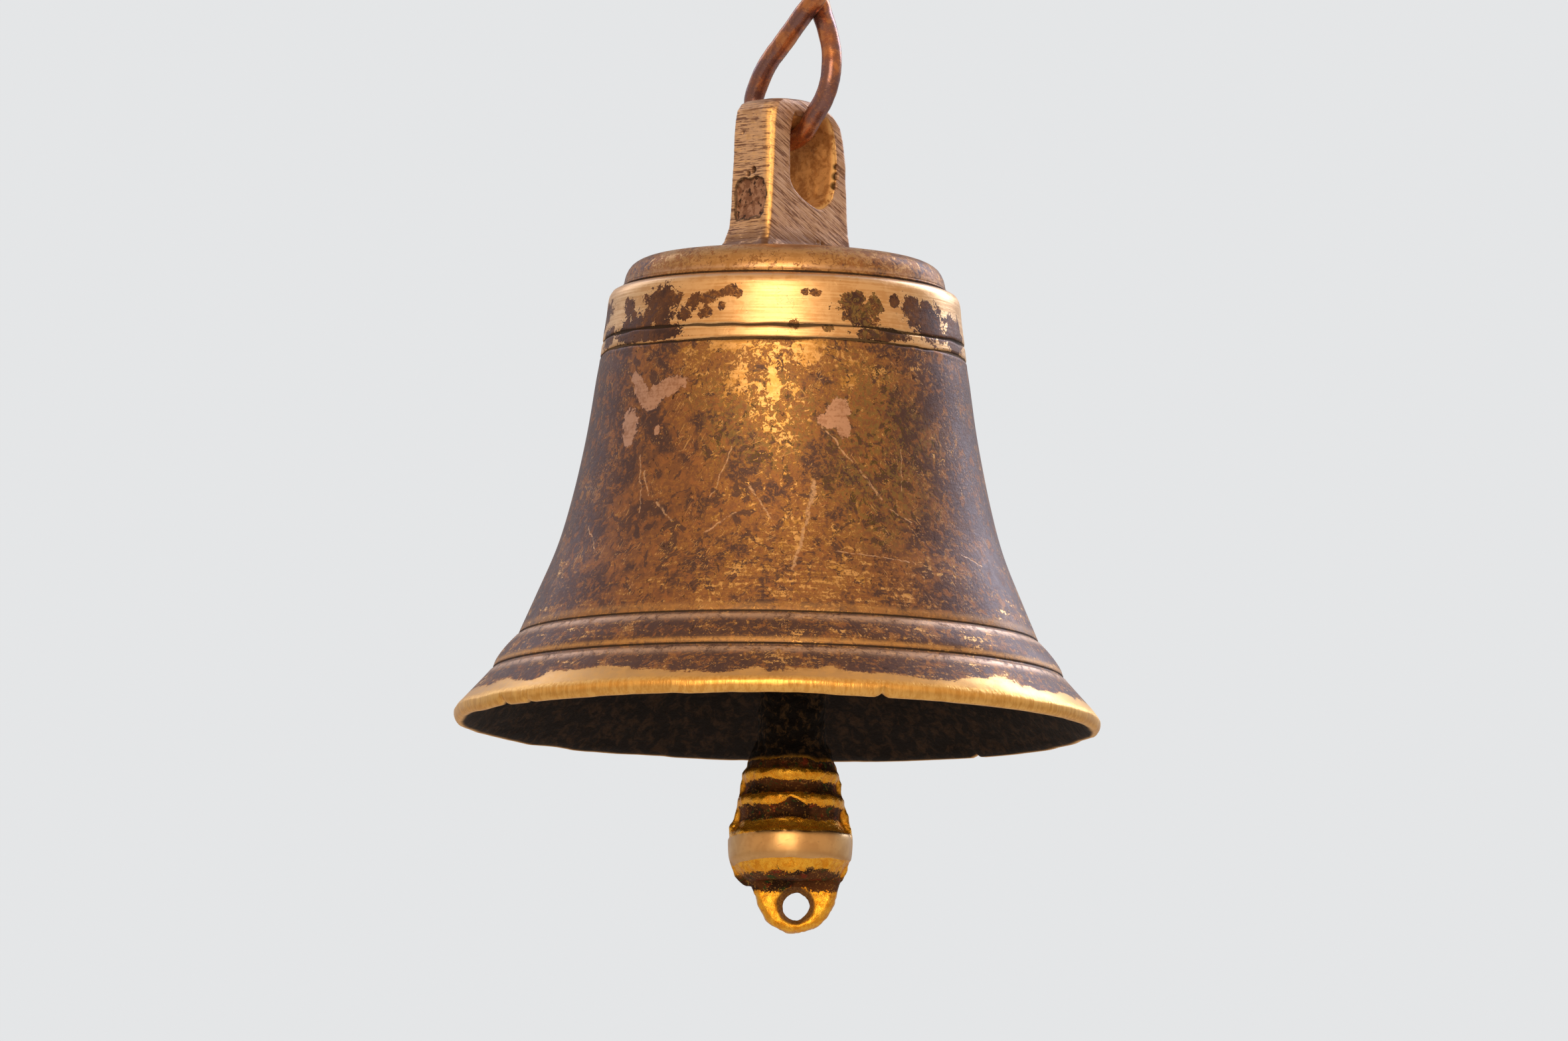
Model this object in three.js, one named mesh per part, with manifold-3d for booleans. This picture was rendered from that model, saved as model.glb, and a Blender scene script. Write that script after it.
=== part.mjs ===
// A hand-finished cast brass bell with a swinging clapper, hung on an S-hook of wire.
// Millimetres, +Z up. The origin is the point inside the upper hook where its support bears.
// Heights named ..._Z are measured from the lowest edge of the bell's lip, before that shift.
// The lug's hole runs along Y. The clapper's flat tab and eye are turned about Z by CLAPPER_TURN.

import * as THREE from "three";
import { mergeVertices } from "three/addons/utils/BufferGeometryUtils.js";
import Module from "manifold-3d";

const wasm = await Module();
wasm.setup();

// ---- driving dimensions -------------------------------------------------------------------

const GAP = 0.3;

const MOUTH_R = 76.2;
const WALL = 4;
const BELL_SEGMENTS = 48;
const SHOULDER_R = 41.6;
const SHOULDER_Z = 100.5;
const DOME_EDGE_R = 38.1;
const CROWN_TOP_Z = 113.5;
const CROWN_INSIDE_Z = 107.5;

const LUG_TOP_Z = 149;
const LUG_HALF_WIDTH = 12.7;
const LUG_HALF_THICKNESS = 6.4;
const LUG_CHAMFER = 2.2;
const LUG_ARCH_R = 6.5;
const LUG_ARCH_INSET = 0.7;
const HOLE_CENTRE_X = 1.2;
const HOLE_CENTRE_Z = 134.9;
const HOLE_HALF_WIDTH = 7.2;
const HOLE_HALF_HEIGHT = 12.1;
const BRIDGE_R = 6.9;

const HOOK_WIRE_R = 2.35;
const EYE_R = BRIDGE_R + GAP + HOOK_WIRE_R;
const UPPER_HOOK_R = 15;
const UPPER_HOOK_Z = 188;
const HANG_Z = UPPER_HOOK_Z + UPPER_HOOK_R - HOOK_WIRE_R;

const CLAPPER_TURN = -Math.PI / 4;
const CLAPPER_OFFSET = 3.5;

const STAPLE_WIRE_R = 2;
const STAPLE_HALF_SPAN = 7.5;
const STAPLE_BAR_Z = 95;
const STAPLE_TOP_Z = CROWN_INSIDE_Z + 2;
const BOSS_R = 14;
const BOSS_Z = 104.5;
const BOSS_EDGE = 1.5;
const SOCKET_OVERCUT = 1;

const LINK_WIRE_R = 1.8;
const LINK_ARC_R = 6.8;
const LINK_TOP_Z = STAPLE_BAR_Z + STAPLE_WIRE_R + GAP + LINK_WIRE_R;
const LINK_BOTTOM_Z = 81.1;

const SHANK_R = 7.9;
const EYE_HOLE_R = 4.9;
const EYE_HOLE_Z = LINK_BOTTOM_Z - 2.1;
const EYE_TOP_R = 7.9;
const EYE_HALF_THICKNESS = 2.75;
const EYE_FOOT_Z = 66;
const CHEEK_FOOT_Z = 70;
const CHEEK_HEIGHT = 20;
const TAB_HALF_THICKNESS = 3;
const TAB_HALF_WIDTH = 10.4;
const TAB_BOTTOM_Z = -48.6;
const TAB_SHOULDER_Z = -36;
const TAB_ROOT_Z = -33;
const TAB_SHIFT = 1.6;
const TAB_HOLE_R = 3.2;
const TAB_HOLE_Z = -42.2;
const CLAPPER_SEGMENTS = 32;

// ---- solids -------------------------------------------------------------------------------

const WELD = 1e-4;

function toSolid(geometry) {
  const plain = geometry.clone();
  plain.deleteAttribute("normal");
  plain.deleteAttribute("uv");
  const merged = mergeVertices(plain, WELD);
  const corners = [];
  const index = merged.index.array;
  for (let i = 0; i < index.length; i += 3) {
    const [a, b, c] = [index[i], index[i + 1], index[i + 2]];
    if (a !== b && b !== c && c !== a) {
      corners.push(a, b, c);
    }
  }
  const vertProperties = new Float32Array(merged.attributes.position.array);
  const triVerts = new Uint32Array(corners);
  return new wasm.Manifold(new wasm.Mesh({ numProp: 3, vertProperties, triVerts }));
}

function toGeometry(solid) {
  const mesh = solid.getMesh();
  const geometry = new THREE.BufferGeometry();
  geometry.setAttribute("position", new THREE.BufferAttribute(mesh.vertProperties, 3));
  geometry.setIndex(new THREE.BufferAttribute(mesh.triVerts, 1));
  geometry.computeVertexNormals();
  return geometry;
}

// A solid of revolution about Z from [radius, height] points that start and end on the axis.
function turned(profile, segments) {
  const points = profile.map(([radius, height]) => new THREE.Vector2(radius, height));
  return new THREE.LatheGeometry(points, segments).rotateX(Math.PI / 2);
}

// An outline in the XZ plane, given thickness along Y from -halfDepth to +halfDepth.
function slab(shape, halfDepth, curveSegments) {
  const geometry = new THREE.ExtrudeGeometry(shape, {
    depth: 2 * halfDepth,
    bevelEnabled: false,
    curveSegments,
  });
  return geometry.translate(0, 0, -halfDepth).rotateX(Math.PI / 2);
}

function wire(curve, radius, sides, steps) {
  const section = new THREE.Shape();
  section.absarc(0, 0, radius, 0, 2 * Math.PI);
  return new THREE.ExtrudeGeometry(section, {
    steps,
    curveSegments: sides,
    bevelEnabled: false,
    extrudePath: curve,
  });
}

// A closed solid through rings of equal point count, stacked upwards and capped at both ends.
function loft(rings) {
  const count = rings[0].length;
  const positions = rings.flat().flatMap((point) => [point.x, point.y, point.z]);
  const index = [];
  for (let ring = 0; ring < rings.length - 1; ring += 1) {
    for (let i = 0; i < count; i += 1) {
      const j = (i + 1) % count;
      const [a, b] = [ring * count + i, ring * count + j];
      index.push(a, b, b + count);
      index.push(a, b + count, a + count);
    }
  }
  const top = (rings.length - 1) * count;
  for (let i = 1; i < count - 1; i += 1) {
    index.push(0, i + 1, i);
    index.push(top, top + i, top + i + 1);
  }
  const geometry = new THREE.BufferGeometry();
  geometry.setAttribute("position", new THREE.Float32BufferAttribute(positions, 3));
  geometry.setIndex(index);
  return geometry;
}

function curveProfile(curve, divisions) {
  return curve.getPoints(divisions).map((point) => [point.x, point.y]);
}

// ---- bell casting -------------------------------------------------------------------------

// The waist's concave flare, from just above the upper moulding to the shoulder.
function waistCurve(inset) {
  const outer = [
    [61.3, 21.6],
    [57.3, 30.4],
    [52.6, 41.8],
    [49.4, 53.1],
    [46.2, 68.3],
    [43.9, 83.4],
    [SHOULDER_R, SHOULDER_Z],
  ];
  return new THREE.SplineCurve(outer.map(([r, z]) => new THREE.Vector2(r - inset, z)));
}

function outsideProfile() {
  const shoulder = new THREE.QuadraticBezierCurve(
    new THREE.Vector2(SHOULDER_R, SHOULDER_Z),
    new THREE.Vector2(SHOULDER_R - 0.4, 103.4),
    new THREE.Vector2(DOME_EDGE_R + 0.5, 103.7),
  );
  const dome = new THREE.CubicBezierCurve(
    new THREE.Vector2(DOME_EDGE_R, 104.6),
    new THREE.Vector2(36.6, 110.6),
    new THREE.Vector2(27, 112),
    new THREE.Vector2(0, CROWN_TOP_Z),
  );
  return [
    [MOUTH_R - 0.6, 0],
    [MOUTH_R, 1.2],
    [MOUTH_R, 3.2],
    [67.5, 12],
    [67.4, 13.2],
    [65.2, 16.9],
    [61.7, 20.4],
    ...curveProfile(waistCurve(0), 12),
    ...curveProfile(shoulder, 3).slice(1),
    ...curveProfile(dome, 6),
  ];
}

function insideProfile() {
  const corner = new THREE.QuadraticBezierCurve(
    new THREE.Vector2(SHOULDER_R - WALL, 96),
    new THREE.Vector2(SHOULDER_R - WALL - 0.6, 105.5),
    new THREE.Vector2(26, 106.6),
  );
  const waist = curveProfile(waistCurve(WALL), 8).slice(0, -1);
  return [
    [0, CROWN_INSIDE_Z],
    ...curveProfile(corner, 4).reverse(),
    ...waist.reverse(),
    [65.8, 8],
    [72.6, 0.6],
  ];
}

function lugRing(halfWidth, halfThickness, z) {
  const [x, y, c] = [halfWidth, halfThickness, LUG_CHAMFER];
  const corners = [
    [x, -y + c], [x, y - c], [x - c, y], [-x + c, y],
    [-x, y - c], [-x, -y + c], [-x + c, -y], [x - c, -y],
  ];
  return corners.map(([px, py]) => new THREE.Vector3(px, py, z));
}

function lugSolid() {
  const rings = [
    lugRing(LUG_HALF_WIDTH + 3.6, LUG_HALF_THICKNESS + 2.8, 111),
    lugRing(LUG_HALF_WIDTH + 2, LUG_HALF_THICKNESS + 1.6, 113.4),
    lugRing(LUG_HALF_WIDTH + 0.8, LUG_HALF_THICKNESS + 0.6, 117),
    lugRing(LUG_HALF_WIDTH, LUG_HALF_THICKNESS, 124),
  ];
  const archZ = LUG_TOP_Z - LUG_ARCH_R;
  for (const angle of [0, 25, 50, 70, 90]) {
    const radians = THREE.MathUtils.degToRad(angle);
    const halfWidth = LUG_HALF_WIDTH - LUG_ARCH_INSET - LUG_ARCH_R * (1 - Math.cos(radians));
    const z = archZ + LUG_ARCH_R * Math.sin(radians);
    rings.push(lugRing(halfWidth, LUG_HALF_THICKNESS - 0.3, z));
  }
  return toSolid(loft(rings));
}

// The oval hole, less the half-round bridge that bears on the hook's wire.
function lugHoleCutter() {
  const oval = new THREE.Shape();
  oval.absellipse(
    HOLE_CENTRE_X, HOLE_CENTRE_Z, HOLE_HALF_WIDTH, HOLE_HALF_HEIGHT, 0, 2 * Math.PI,
  );
  const bridge = new THREE.CylinderGeometry(BRIDGE_R, BRIDGE_R, 4 * HOLE_HALF_WIDTH, 32);
  bridge.rotateZ(Math.PI / 2).translate(0, 0, LUG_TOP_Z);
  return toSolid(slab(oval, 3 * LUG_HALF_THICKNESS, 14)).subtract(toSolid(bridge));
}

function stapleSocket(side) {
  const depth = STAPLE_TOP_Z + GAP - BOSS_Z + SOCKET_OVERCUT;
  const radius = STAPLE_WIRE_R + GAP;
  const socket = new THREE.CylinderGeometry(radius, radius, depth, 16).rotateX(Math.PI / 2);
  const z = STAPLE_TOP_Z + GAP - depth / 2;
  return toSolid(onClapperAxis(socket.translate(side * STAPLE_HALF_SPAN, 0, z)));
}

// Moves geometry made about the Z axis to where the clapper hangs, turned with its flat faces.
function onClapperAxis(geometry) {
  return geometry.translate(CLAPPER_OFFSET, 0, 0).rotateZ(CLAPPER_TURN);
}

function bellCasting() {
  const cup = toSolid(turned([...insideProfile(), ...outsideProfile()], BELL_SEGMENTS));
  const bossProfile = [
    [0, BOSS_Z],
    [BOSS_R - BOSS_EDGE, BOSS_Z],
    [BOSS_R, BOSS_Z + BOSS_EDGE],
    [BOSS_R, STAPLE_TOP_Z],
    [0, STAPLE_TOP_Z],
  ];
  const boss = toSolid(onClapperAxis(turned(bossProfile, 24)));
  return cup
    .add(boss)
    .add(lugSolid())
    .subtract(lugHoleCutter())
    .subtract(stapleSocket(-1))
    .subtract(stapleSocket(1));
}

// ---- hook ---------------------------------------------------------------------------------

// Points on the arc that the wire follows under the lug's bridge, by angle from straight down.
function eyeArcPoint(degrees) {
  const angle = THREE.MathUtils.degToRad(degrees);
  return [0, EYE_R * Math.sin(angle), LUG_TOP_Z - EYE_R * Math.cos(angle)];
}

// Points on the upper hook's arc, by angle up from its shank side.
function upperArcPoint(degrees) {
  const angle = THREE.MathUtils.degToRad(degrees);
  const y = -UPPER_HOOK_R * Math.cos(angle);
  return [0, y, UPPER_HOOK_Z + UPPER_HOOK_R * Math.sin(angle)];
}

// The cut end, the side that enters the lug, the eye's arc, the shank and the upper hook.
function hookCurve() {
  const cutSide = [
    [2.7, -8.7, 169.3], [2, -10.6, 165.8], [1, -13.3, 159], [0.3, -13.5, 153],
    [0.1, -11.8, 148.6],
  ];
  const shank = [
    [0, 11.4, 149.8], [-0.2, 9.4, 154.6], [-0.6, 6.3, 158.5], [-1.2, -0.3, 164],
    [-1.8, -6.1, 168.8], [-1.8, -11.4, 173.6], [-1, -14.4, 179.6],
  ];
  const points = [
    ...cutSide,
    ...[-60, -40, -20, 0, 20, 40, 60].map(eyeArcPoint),
    ...shank,
    ...[0, 30, 60, 90, 120, 150, 180, 204].map(upperArcPoint),
  ];
  const vectors = points.map(([x, y, z]) => new THREE.Vector3(x, y, z));
  return new THREE.CatmullRomCurve3(vectors, false, "centripetal");
}

// ---- staple, link and clapper -------------------------------------------------------------

// A U of iron wire, its bar along the clapper's X and its legs in the crown's sockets.
function stapleCurve() {
  const path = new THREE.CurvePath();
  const bend = STAPLE_WIRE_R * 2;
  const [x, bar, top] = [STAPLE_HALF_SPAN, STAPLE_BAR_Z, STAPLE_TOP_Z];
  const at = (px, pz) => new THREE.Vector3(px, 0, pz);
  path.add(new THREE.LineCurve3(at(-x, top), at(-x, bar + bend)));
  path.add(new THREE.QuadraticBezierCurve3(at(-x, bar + bend), at(-x, bar), at(-x + bend, bar)));
  path.add(new THREE.LineCurve3(at(-x + bend, bar), at(x - bend, bar)));
  path.add(new THREE.QuadraticBezierCurve3(at(x - bend, bar), at(x, bar), at(x, bar + bend)));
  path.add(new THREE.LineCurve3(at(x, bar + bend), at(x, top)));
  return path;
}

// A closed oval of wire across the staple's bar: a torus whose halves are drawn apart.
function linkGeometry() {
  const straight = (LINK_TOP_Z - LINK_BOTTOM_Z) / 2 - LINK_ARC_R;
  const link = new THREE.TorusGeometry(LINK_ARC_R, LINK_WIRE_R, 10, 32).rotateY(Math.PI / 2);
  const position = link.attributes.position;
  for (let i = 0; i < position.count; i += 1) {
    const z = position.getZ(i);
    const half = Math.abs(z) < WELD ? 0 : Math.sign(z);
    position.setZ(i, z + half * straight);
  }
  link.computeVertexNormals();
  return link.translate(0, 0, (LINK_TOP_Z + LINK_BOTTOM_Z) / 2);
}

function clapperProfile() {
  const shoulder = new THREE.QuadraticBezierCurve(
    new THREE.Vector2(10.5, -35.6),
    new THREE.Vector2(12.4, -35),
    new THREE.Vector2(13.4, -32.4),
  );
  return [
    [0, -37],
    [9, -36.6],
    ...curveProfile(shoulder, 3),
    [14.4, -30.6],
    [14.5, -28],
    [14.3, -25.4],
    [13.8, -24.1],
    [12.2, -21.6],
    [11.9, -20],
    [12.7, -17.7],
    [12.1, -16],
    [10.8, -14.4],
    [11.4, -11.4],
    [10.2, -9.4],
    [9.4, -6.8],
    [8.2, -4.4],
    [SHANK_R, -1],
    [SHANK_R, EYE_FOOT_Z],
    [SHANK_R - 1.2, 74],
    [0, 74],
  ];
}

function tabShape() {
  const shape = new THREE.Shape();
  const [left, right] = [TAB_SHIFT - TAB_HALF_WIDTH, TAB_SHIFT + TAB_HALF_WIDTH];
  shape.moveTo(left + 0.6, TAB_ROOT_Z);
  shape.lineTo(left, TAB_SHOULDER_Z);
  shape.bezierCurveTo(left + 1, -44, left + 4.6, TAB_BOTTOM_Z, TAB_SHIFT, TAB_BOTTOM_Z);
  shape.bezierCurveTo(right - 4.6, TAB_BOTTOM_Z, right - 1, -44, right, TAB_SHOULDER_Z);
  shape.lineTo(right - 0.6, TAB_ROOT_Z);
  shape.closePath();
  return shape;
}

function eyeShape() {
  const shape = new THREE.Shape();
  shape.moveTo(-SHANK_R, EYE_FOOT_Z);
  shape.lineTo(SHANK_R, EYE_FOOT_Z);
  shape.absarc(0, EYE_HOLE_Z, EYE_TOP_R, 0, Math.PI);
  shape.closePath();
  return shape;
}

function roundHole(x, z, radius, halfDepth) {
  const hole = new THREE.CylinderGeometry(radius, radius, 2 * halfDepth, 24);
  return toSolid(hole.translate(x, 0, z));
}

function clapperCasting() {
  const body = toSolid(turned(clapperProfile(), CLAPPER_SEGMENTS));
  const flat = new THREE.BoxGeometry(4 * SHANK_R, SHANK_R, CHEEK_HEIGHT);
  const cheek = (side) => {
    const y = side * (EYE_HALF_THICKNESS + SHANK_R / 2);
    return toSolid(flat.clone().translate(0, y, CHEEK_FOOT_Z + CHEEK_HEIGHT / 2));
  };
  return body
    .subtract(cheek(1))
    .subtract(cheek(-1))
    .add(toSolid(slab(eyeShape(), EYE_HALF_THICKNESS, 12)))
    .add(toSolid(slab(tabShape(), TAB_HALF_THICKNESS, 10)))
    .subtract(roundHole(0, EYE_HOLE_Z, EYE_HOLE_R, SHANK_R))
    .subtract(roundHole(TAB_SHIFT, TAB_HOLE_Z, TAB_HOLE_R, SHANK_R));
}

// ---- assembly -----------------------------------------------------------------------------

const brass = { color: 0x9a7440, roughness: 0.42, metalness: 1 };
const goldenBrass = { color: 0xc08a3a, roughness: 0.34, metalness: 1 };
const rustyWire = { color: 0x8a5138, roughness: 0.55, metalness: 0.9 };
const darkIron = { color: 0x3a302a, roughness: 0.75, metalness: 0.8 };

function piece(name, geometry, finish) {
  const mesh = new THREE.Mesh(geometry, new THREE.MeshStandardMaterial(finish));
  mesh.name = name;
  return mesh;
}

const hangingClapper = new THREE.Group();
hangingClapper.rotation.z = CLAPPER_TURN;
hangingClapper.add(
  piece("crown_staple", wire(stapleCurve(), STAPLE_WIRE_R, 5, 26), darkIron),
  piece("clapper_link", linkGeometry(), darkIron),
  piece("clapper", toGeometry(clapperCasting()), goldenBrass),
);
for (const mesh of hangingClapper.children) {
  mesh.position.x = CLAPPER_OFFSET;
}

const bell = new THREE.Group();
bell.position.z = -HANG_Z;
bell.add(
  piece("hanger_hook", wire(hookCurve(), HOOK_WIRE_R, 5, 76), rustyWire),
  piece("bell_casting", toGeometry(bellCasting()), brass),
  hangingClapper,
);

export default bell;
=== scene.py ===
import math

import bpy
import numpy as np
from mathutils import Matrix, Vector


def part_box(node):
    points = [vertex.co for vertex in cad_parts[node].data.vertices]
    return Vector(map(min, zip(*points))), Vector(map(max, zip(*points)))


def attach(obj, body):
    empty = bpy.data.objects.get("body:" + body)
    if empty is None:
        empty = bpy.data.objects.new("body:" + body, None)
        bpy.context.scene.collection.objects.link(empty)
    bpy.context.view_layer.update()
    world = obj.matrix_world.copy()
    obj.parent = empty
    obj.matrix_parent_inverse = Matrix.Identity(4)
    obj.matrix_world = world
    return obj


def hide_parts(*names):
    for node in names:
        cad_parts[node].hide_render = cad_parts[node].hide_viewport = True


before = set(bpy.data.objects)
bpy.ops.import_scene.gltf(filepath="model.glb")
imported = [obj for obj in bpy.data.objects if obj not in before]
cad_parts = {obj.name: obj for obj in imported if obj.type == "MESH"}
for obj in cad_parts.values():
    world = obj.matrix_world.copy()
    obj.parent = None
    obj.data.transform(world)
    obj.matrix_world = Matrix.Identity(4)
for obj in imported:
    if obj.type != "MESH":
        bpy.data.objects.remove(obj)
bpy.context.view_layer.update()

# ---- measures -----------------------------------------------------------------------------
# Shapes are worked out in millimetres, with heights from the bell's lowest edge, and are put
# into the frame by to_frame(). Angles are in degrees round the bell's axis from the side that
# the camera sees, growing towards the right of the picture.

MM = 0.001
LIP_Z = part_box("bell_casting")[0][2]
MOUTH_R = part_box("bell_casting")[1][0] / MM
LUG_TOP = (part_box("bell_casting")[1][2] - LIP_Z) / MM
HOOK_TOP = (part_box("hanger_hook")[1][2] - LIP_Z) / MM

VIEW_AZIMUTH = math.radians(-45)
NEAR = np.array([math.sin(VIEW_AZIMUTH), -math.cos(VIEW_AZIMUTH), 0.0])
RIGHT = np.array([math.cos(VIEW_AZIMUTH), math.sin(VIEW_AZIMUTH), 0.0])
UP = np.array([0.0, 0.0, 1.0])
CLAPPER_OFFSET = 3.5
# The clear space kept where one wire hangs on another.
GAP = 0.3


def to_frame(points):
    """Millimetres above the lip to metres in the frame."""
    return points * MM + np.array([0.0, 0.0, LIP_Z])


def around(radius, degrees, height):
    """Points at a radius and angle round the bell's axis, in millimetres."""
    angle = np.radians(degrees)
    flat = np.multiply.outer(np.cos(angle), NEAR) + np.multiply.outer(np.sin(angle), RIGHT)
    return np.asarray(radius)[..., None] * flat + np.asarray(height)[..., None] * UP


# ---- smooth random values -----------------------------------------------------------------

LATTICE = 32


def noise(points, size, seed):
    """Smooth values from -1 to 1, with features about size millimetres across."""
    lattice = np.random.default_rng(seed).random((LATTICE, LATTICE, LATTICE)) * 2 - 1
    scaled = points / np.asarray(size)
    cell = np.floor(scaled)
    part = scaled - cell
    part = part * part * (3 - 2 * part)
    low = cell.astype(int) % LATTICE
    high = (low + 1) % LATTICE
    total = np.zeros(len(points))
    for corner in range(8):
        picks, weight = [], np.ones(len(points))
        for axis in range(3):
            upper = corner >> axis & 1
            picks.append((high if upper else low)[:, axis])
            weight = weight * (part[:, axis] if upper else 1 - part[:, axis])
        total += weight * lattice[picks[0], picks[1], picks[2]]
    return total


def rough(points, size, octaves, seed):
    """Noise summed over halving sizes, from about -1 to 1."""
    total = np.zeros(len(points))
    for octave in range(octaves):
        total += noise(points, np.asarray(size) / 2**octave, seed + octave) / 2**octave
    return total / (2 - 0.5 ** (octaves - 1))


def step(value, low, high):
    """Smooth step from 0 at low to 1 at high."""
    t = np.clip((value - low) / (high - low), 0, 1)
    return t * t * (3 - 2 * t)


def hump(value, middle, width):
    """1 where value is at the middle, falling smoothly to 0 over a few widths."""
    return np.exp(-(((value - middle) / width) ** 2))


def wrap(degrees):
    """The same angle, from -180 to 180."""
    return (degrees + 180) % 360 - 180


# ---- curves -------------------------------------------------------------------------------


def spline(points, spacing):
    """A centripetal curve through the points, sampled about every spacing millimetres."""
    points = np.asarray(points, dtype=float)
    padded = np.vstack([2 * points[0] - points[1], points, 2 * points[-1] - points[-2]])
    out = []
    for i in range(1, len(padded) - 2):
        p0, p1, p2, p3 = padded[i - 1 : i + 3]
        count = max(2, int(round(np.linalg.norm(p2 - p1) / spacing)))
        t = np.linspace(0, 1, count, endpoint=False)[:, None]
        out.append(catmull(p0, p1, p2, p3, t))
    out.append(points[-1:])
    return np.vstack(out)


def catmull(p0, p1, p2, p3, t):
    d1, d2, d3 = (math.sqrt(np.linalg.norm(b - a)) for a, b in ((p0, p1), (p1, p2), (p2, p3)))
    m1 = (p1 - p0) / d1 - (p2 - p0) / (d1 + d2) + (p2 - p1) / d2
    m2 = (p2 - p1) / d2 - (p3 - p1) / (d2 + d3) + (p3 - p2) / d3
    m1, m2 = m1 * d2, m2 * d2
    a = 2 * (p1 - p2) + m1 + m2
    b = -3 * (p1 - p2) - 2 * m1 - m2
    return a * t**3 + b * t**2 + m1 * t + p1


def straight(points, spacing):
    """The straight-sided line through the points, sampled about every spacing millimetres."""
    points = np.asarray(points, dtype=float)
    out = []
    for start, end in zip(points[:-1], points[1:]):
        count = max(1, int(round(np.linalg.norm(end - start) / spacing)))
        t = np.linspace(0, 1, count, endpoint=False)[:, None]
        out.append(start + (end - start) * t)
    out.append(points[-1:])
    return np.vstack(out)


# ---- meshes -------------------------------------------------------------------------------


def mesh_object(name, points, faces):
    mesh = bpy.data.meshes.new(name)
    mesh.from_pydata(to_frame(points).tolist(), [], faces)
    mesh.polygons.foreach_set("use_smooth", [True] * len(mesh.polygons))
    mesh.update()
    piece = bpy.data.objects.new(name, mesh)
    bpy.context.collection.objects.link(piece)
    return piece


def vertex_points(piece):
    """The piece's vertices in millimetres above the lip, and their outward directions."""
    count = len(piece.data.vertices)
    flat = np.empty(count * 3)
    piece.data.vertices.foreach_get("co", flat)
    points = (flat.reshape(-1, 3) - np.array([0, 0, LIP_Z])) / MM
    piece.data.vertices.foreach_get("normal", flat)
    return points, flat.reshape(-1, 3).copy()


def move_vertices(piece, points):
    piece.data.vertices.foreach_set("co", to_frame(points).ravel())
    piece.data.update()


def paint(piece, **layers):
    """Stores numbers for each vertex, which the piece's material reads by the layer's name."""
    for name, values in layers.items():
        layer = piece.data.attributes.new(name, "FLOAT", "POINT")
        layer.data.foreach_set("value", np.asarray(values, dtype=np.float32))


def ring_faces(rings, count, first=0, closed=False):
    """Quads between rings of count vertices each, and from last to first if closed."""
    faces = []
    for ring in range(rings if closed else rings - 1):
        start = first + ring * count
        onward = first + (ring + 1) % rings * count
        for i in range(count):
            j = (i + 1) % count
            faces.append((start + i, start + j, onward + j, onward + i))
    return faces


def capped_faces(rings, count):
    """Quads between rings of count vertices each, and a flat face over either end."""
    first, last = range(count), range((rings - 1) * count, rings * count)
    return ring_faces(rings, count) + [tuple(reversed(first)), tuple(last)]


def turned_faces(rings, count):
    """Faces of a body of revolution: a first pole, the rings, and a last pole."""
    last = 1 + rings * count
    faces = ring_faces(rings, count, first=1)
    for i in range(count):
        j = (i + 1) % count
        faces.append((0, 1 + j, 1 + i))
        faces.append((last, last - count + i, last - count + j))
    return faces


def loft_object(name, rings):
    """A closed solid through rings of points, stacked along their normal."""
    return mesh_object(name, np.vstack(rings), capped_faces(len(rings), len(rings[0])))


def bake_modifiers(piece):
    graph = bpy.context.evaluated_depsgraph_get()
    mesh = bpy.data.meshes.new_from_object(piece.evaluated_get(graph))
    piece.modifiers.clear()
    piece.data = mesh


def combine(piece, other, operation):
    """Joins other to the piece, or cuts it away, and removes it."""
    boolean = piece.modifiers.new("combine", "BOOLEAN")
    boolean.operation = operation
    boolean.solver = "EXACT"
    boolean.object = other
    bake_modifiers(piece)
    bpy.data.objects.remove(other)


def remesh(piece, voxel):
    """Rebuilds the piece from even quads, voxel millimetres across, and softens its edges."""
    modifier = piece.modifiers.new("remesh", "REMESH")
    modifier.mode = "VOXEL"
    modifier.voxel_size = voxel * MM
    modifier.use_smooth_shade = True
    smooth = piece.modifiers.new("smooth", "SMOOTH")
    smooth.iterations = 3
    smooth.factor = 0.5
    bake_modifiers(piece)


def wire_object(name, path, radius, sides, closed, seed):
    """A hand-bent wire along the path, slightly uneven in thickness."""
    ahead = np.roll(path, -1, axis=0) - np.roll(path, 1, axis=0)
    if not closed:
        ahead[0], ahead[-1] = path[1] - path[0], path[-1] - path[-2]
    ahead /= np.linalg.norm(ahead, axis=1)[:, None]
    across = np.cross(ahead, wire_plane(path))
    across /= np.linalg.norm(across, axis=1)[:, None]
    over = np.cross(ahead, across)
    angle = np.linspace(0, 2 * np.pi, sides, endpoint=False)[None, :, None]
    offsets = np.cos(angle) * across[:, None] + np.sin(angle) * over[:, None]
    centres = np.repeat(path, sides, axis=0)
    offsets = offsets.reshape(-1, 3)
    surface = centres + offsets * radius
    bumps = 0.045 * rough(surface, 4.0, 3, seed) + 0.02 * rough(surface, 0.9, 2, seed + 9)
    points = surface + offsets * (bumps * radius)[:, None]
    if closed:
        return mesh_object(name, points, ring_faces(len(path), sides, closed=True))
    return mesh_object(name, points, capped_faces(len(path), sides))


def wire_plane(path):
    """The direction across the plane that a bent wire mostly lies in."""
    spread = path - path.mean(axis=0)
    return np.linalg.svd(spread, full_matrices=False)[2][2]


# ---- material building --------------------------------------------------------------------


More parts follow.
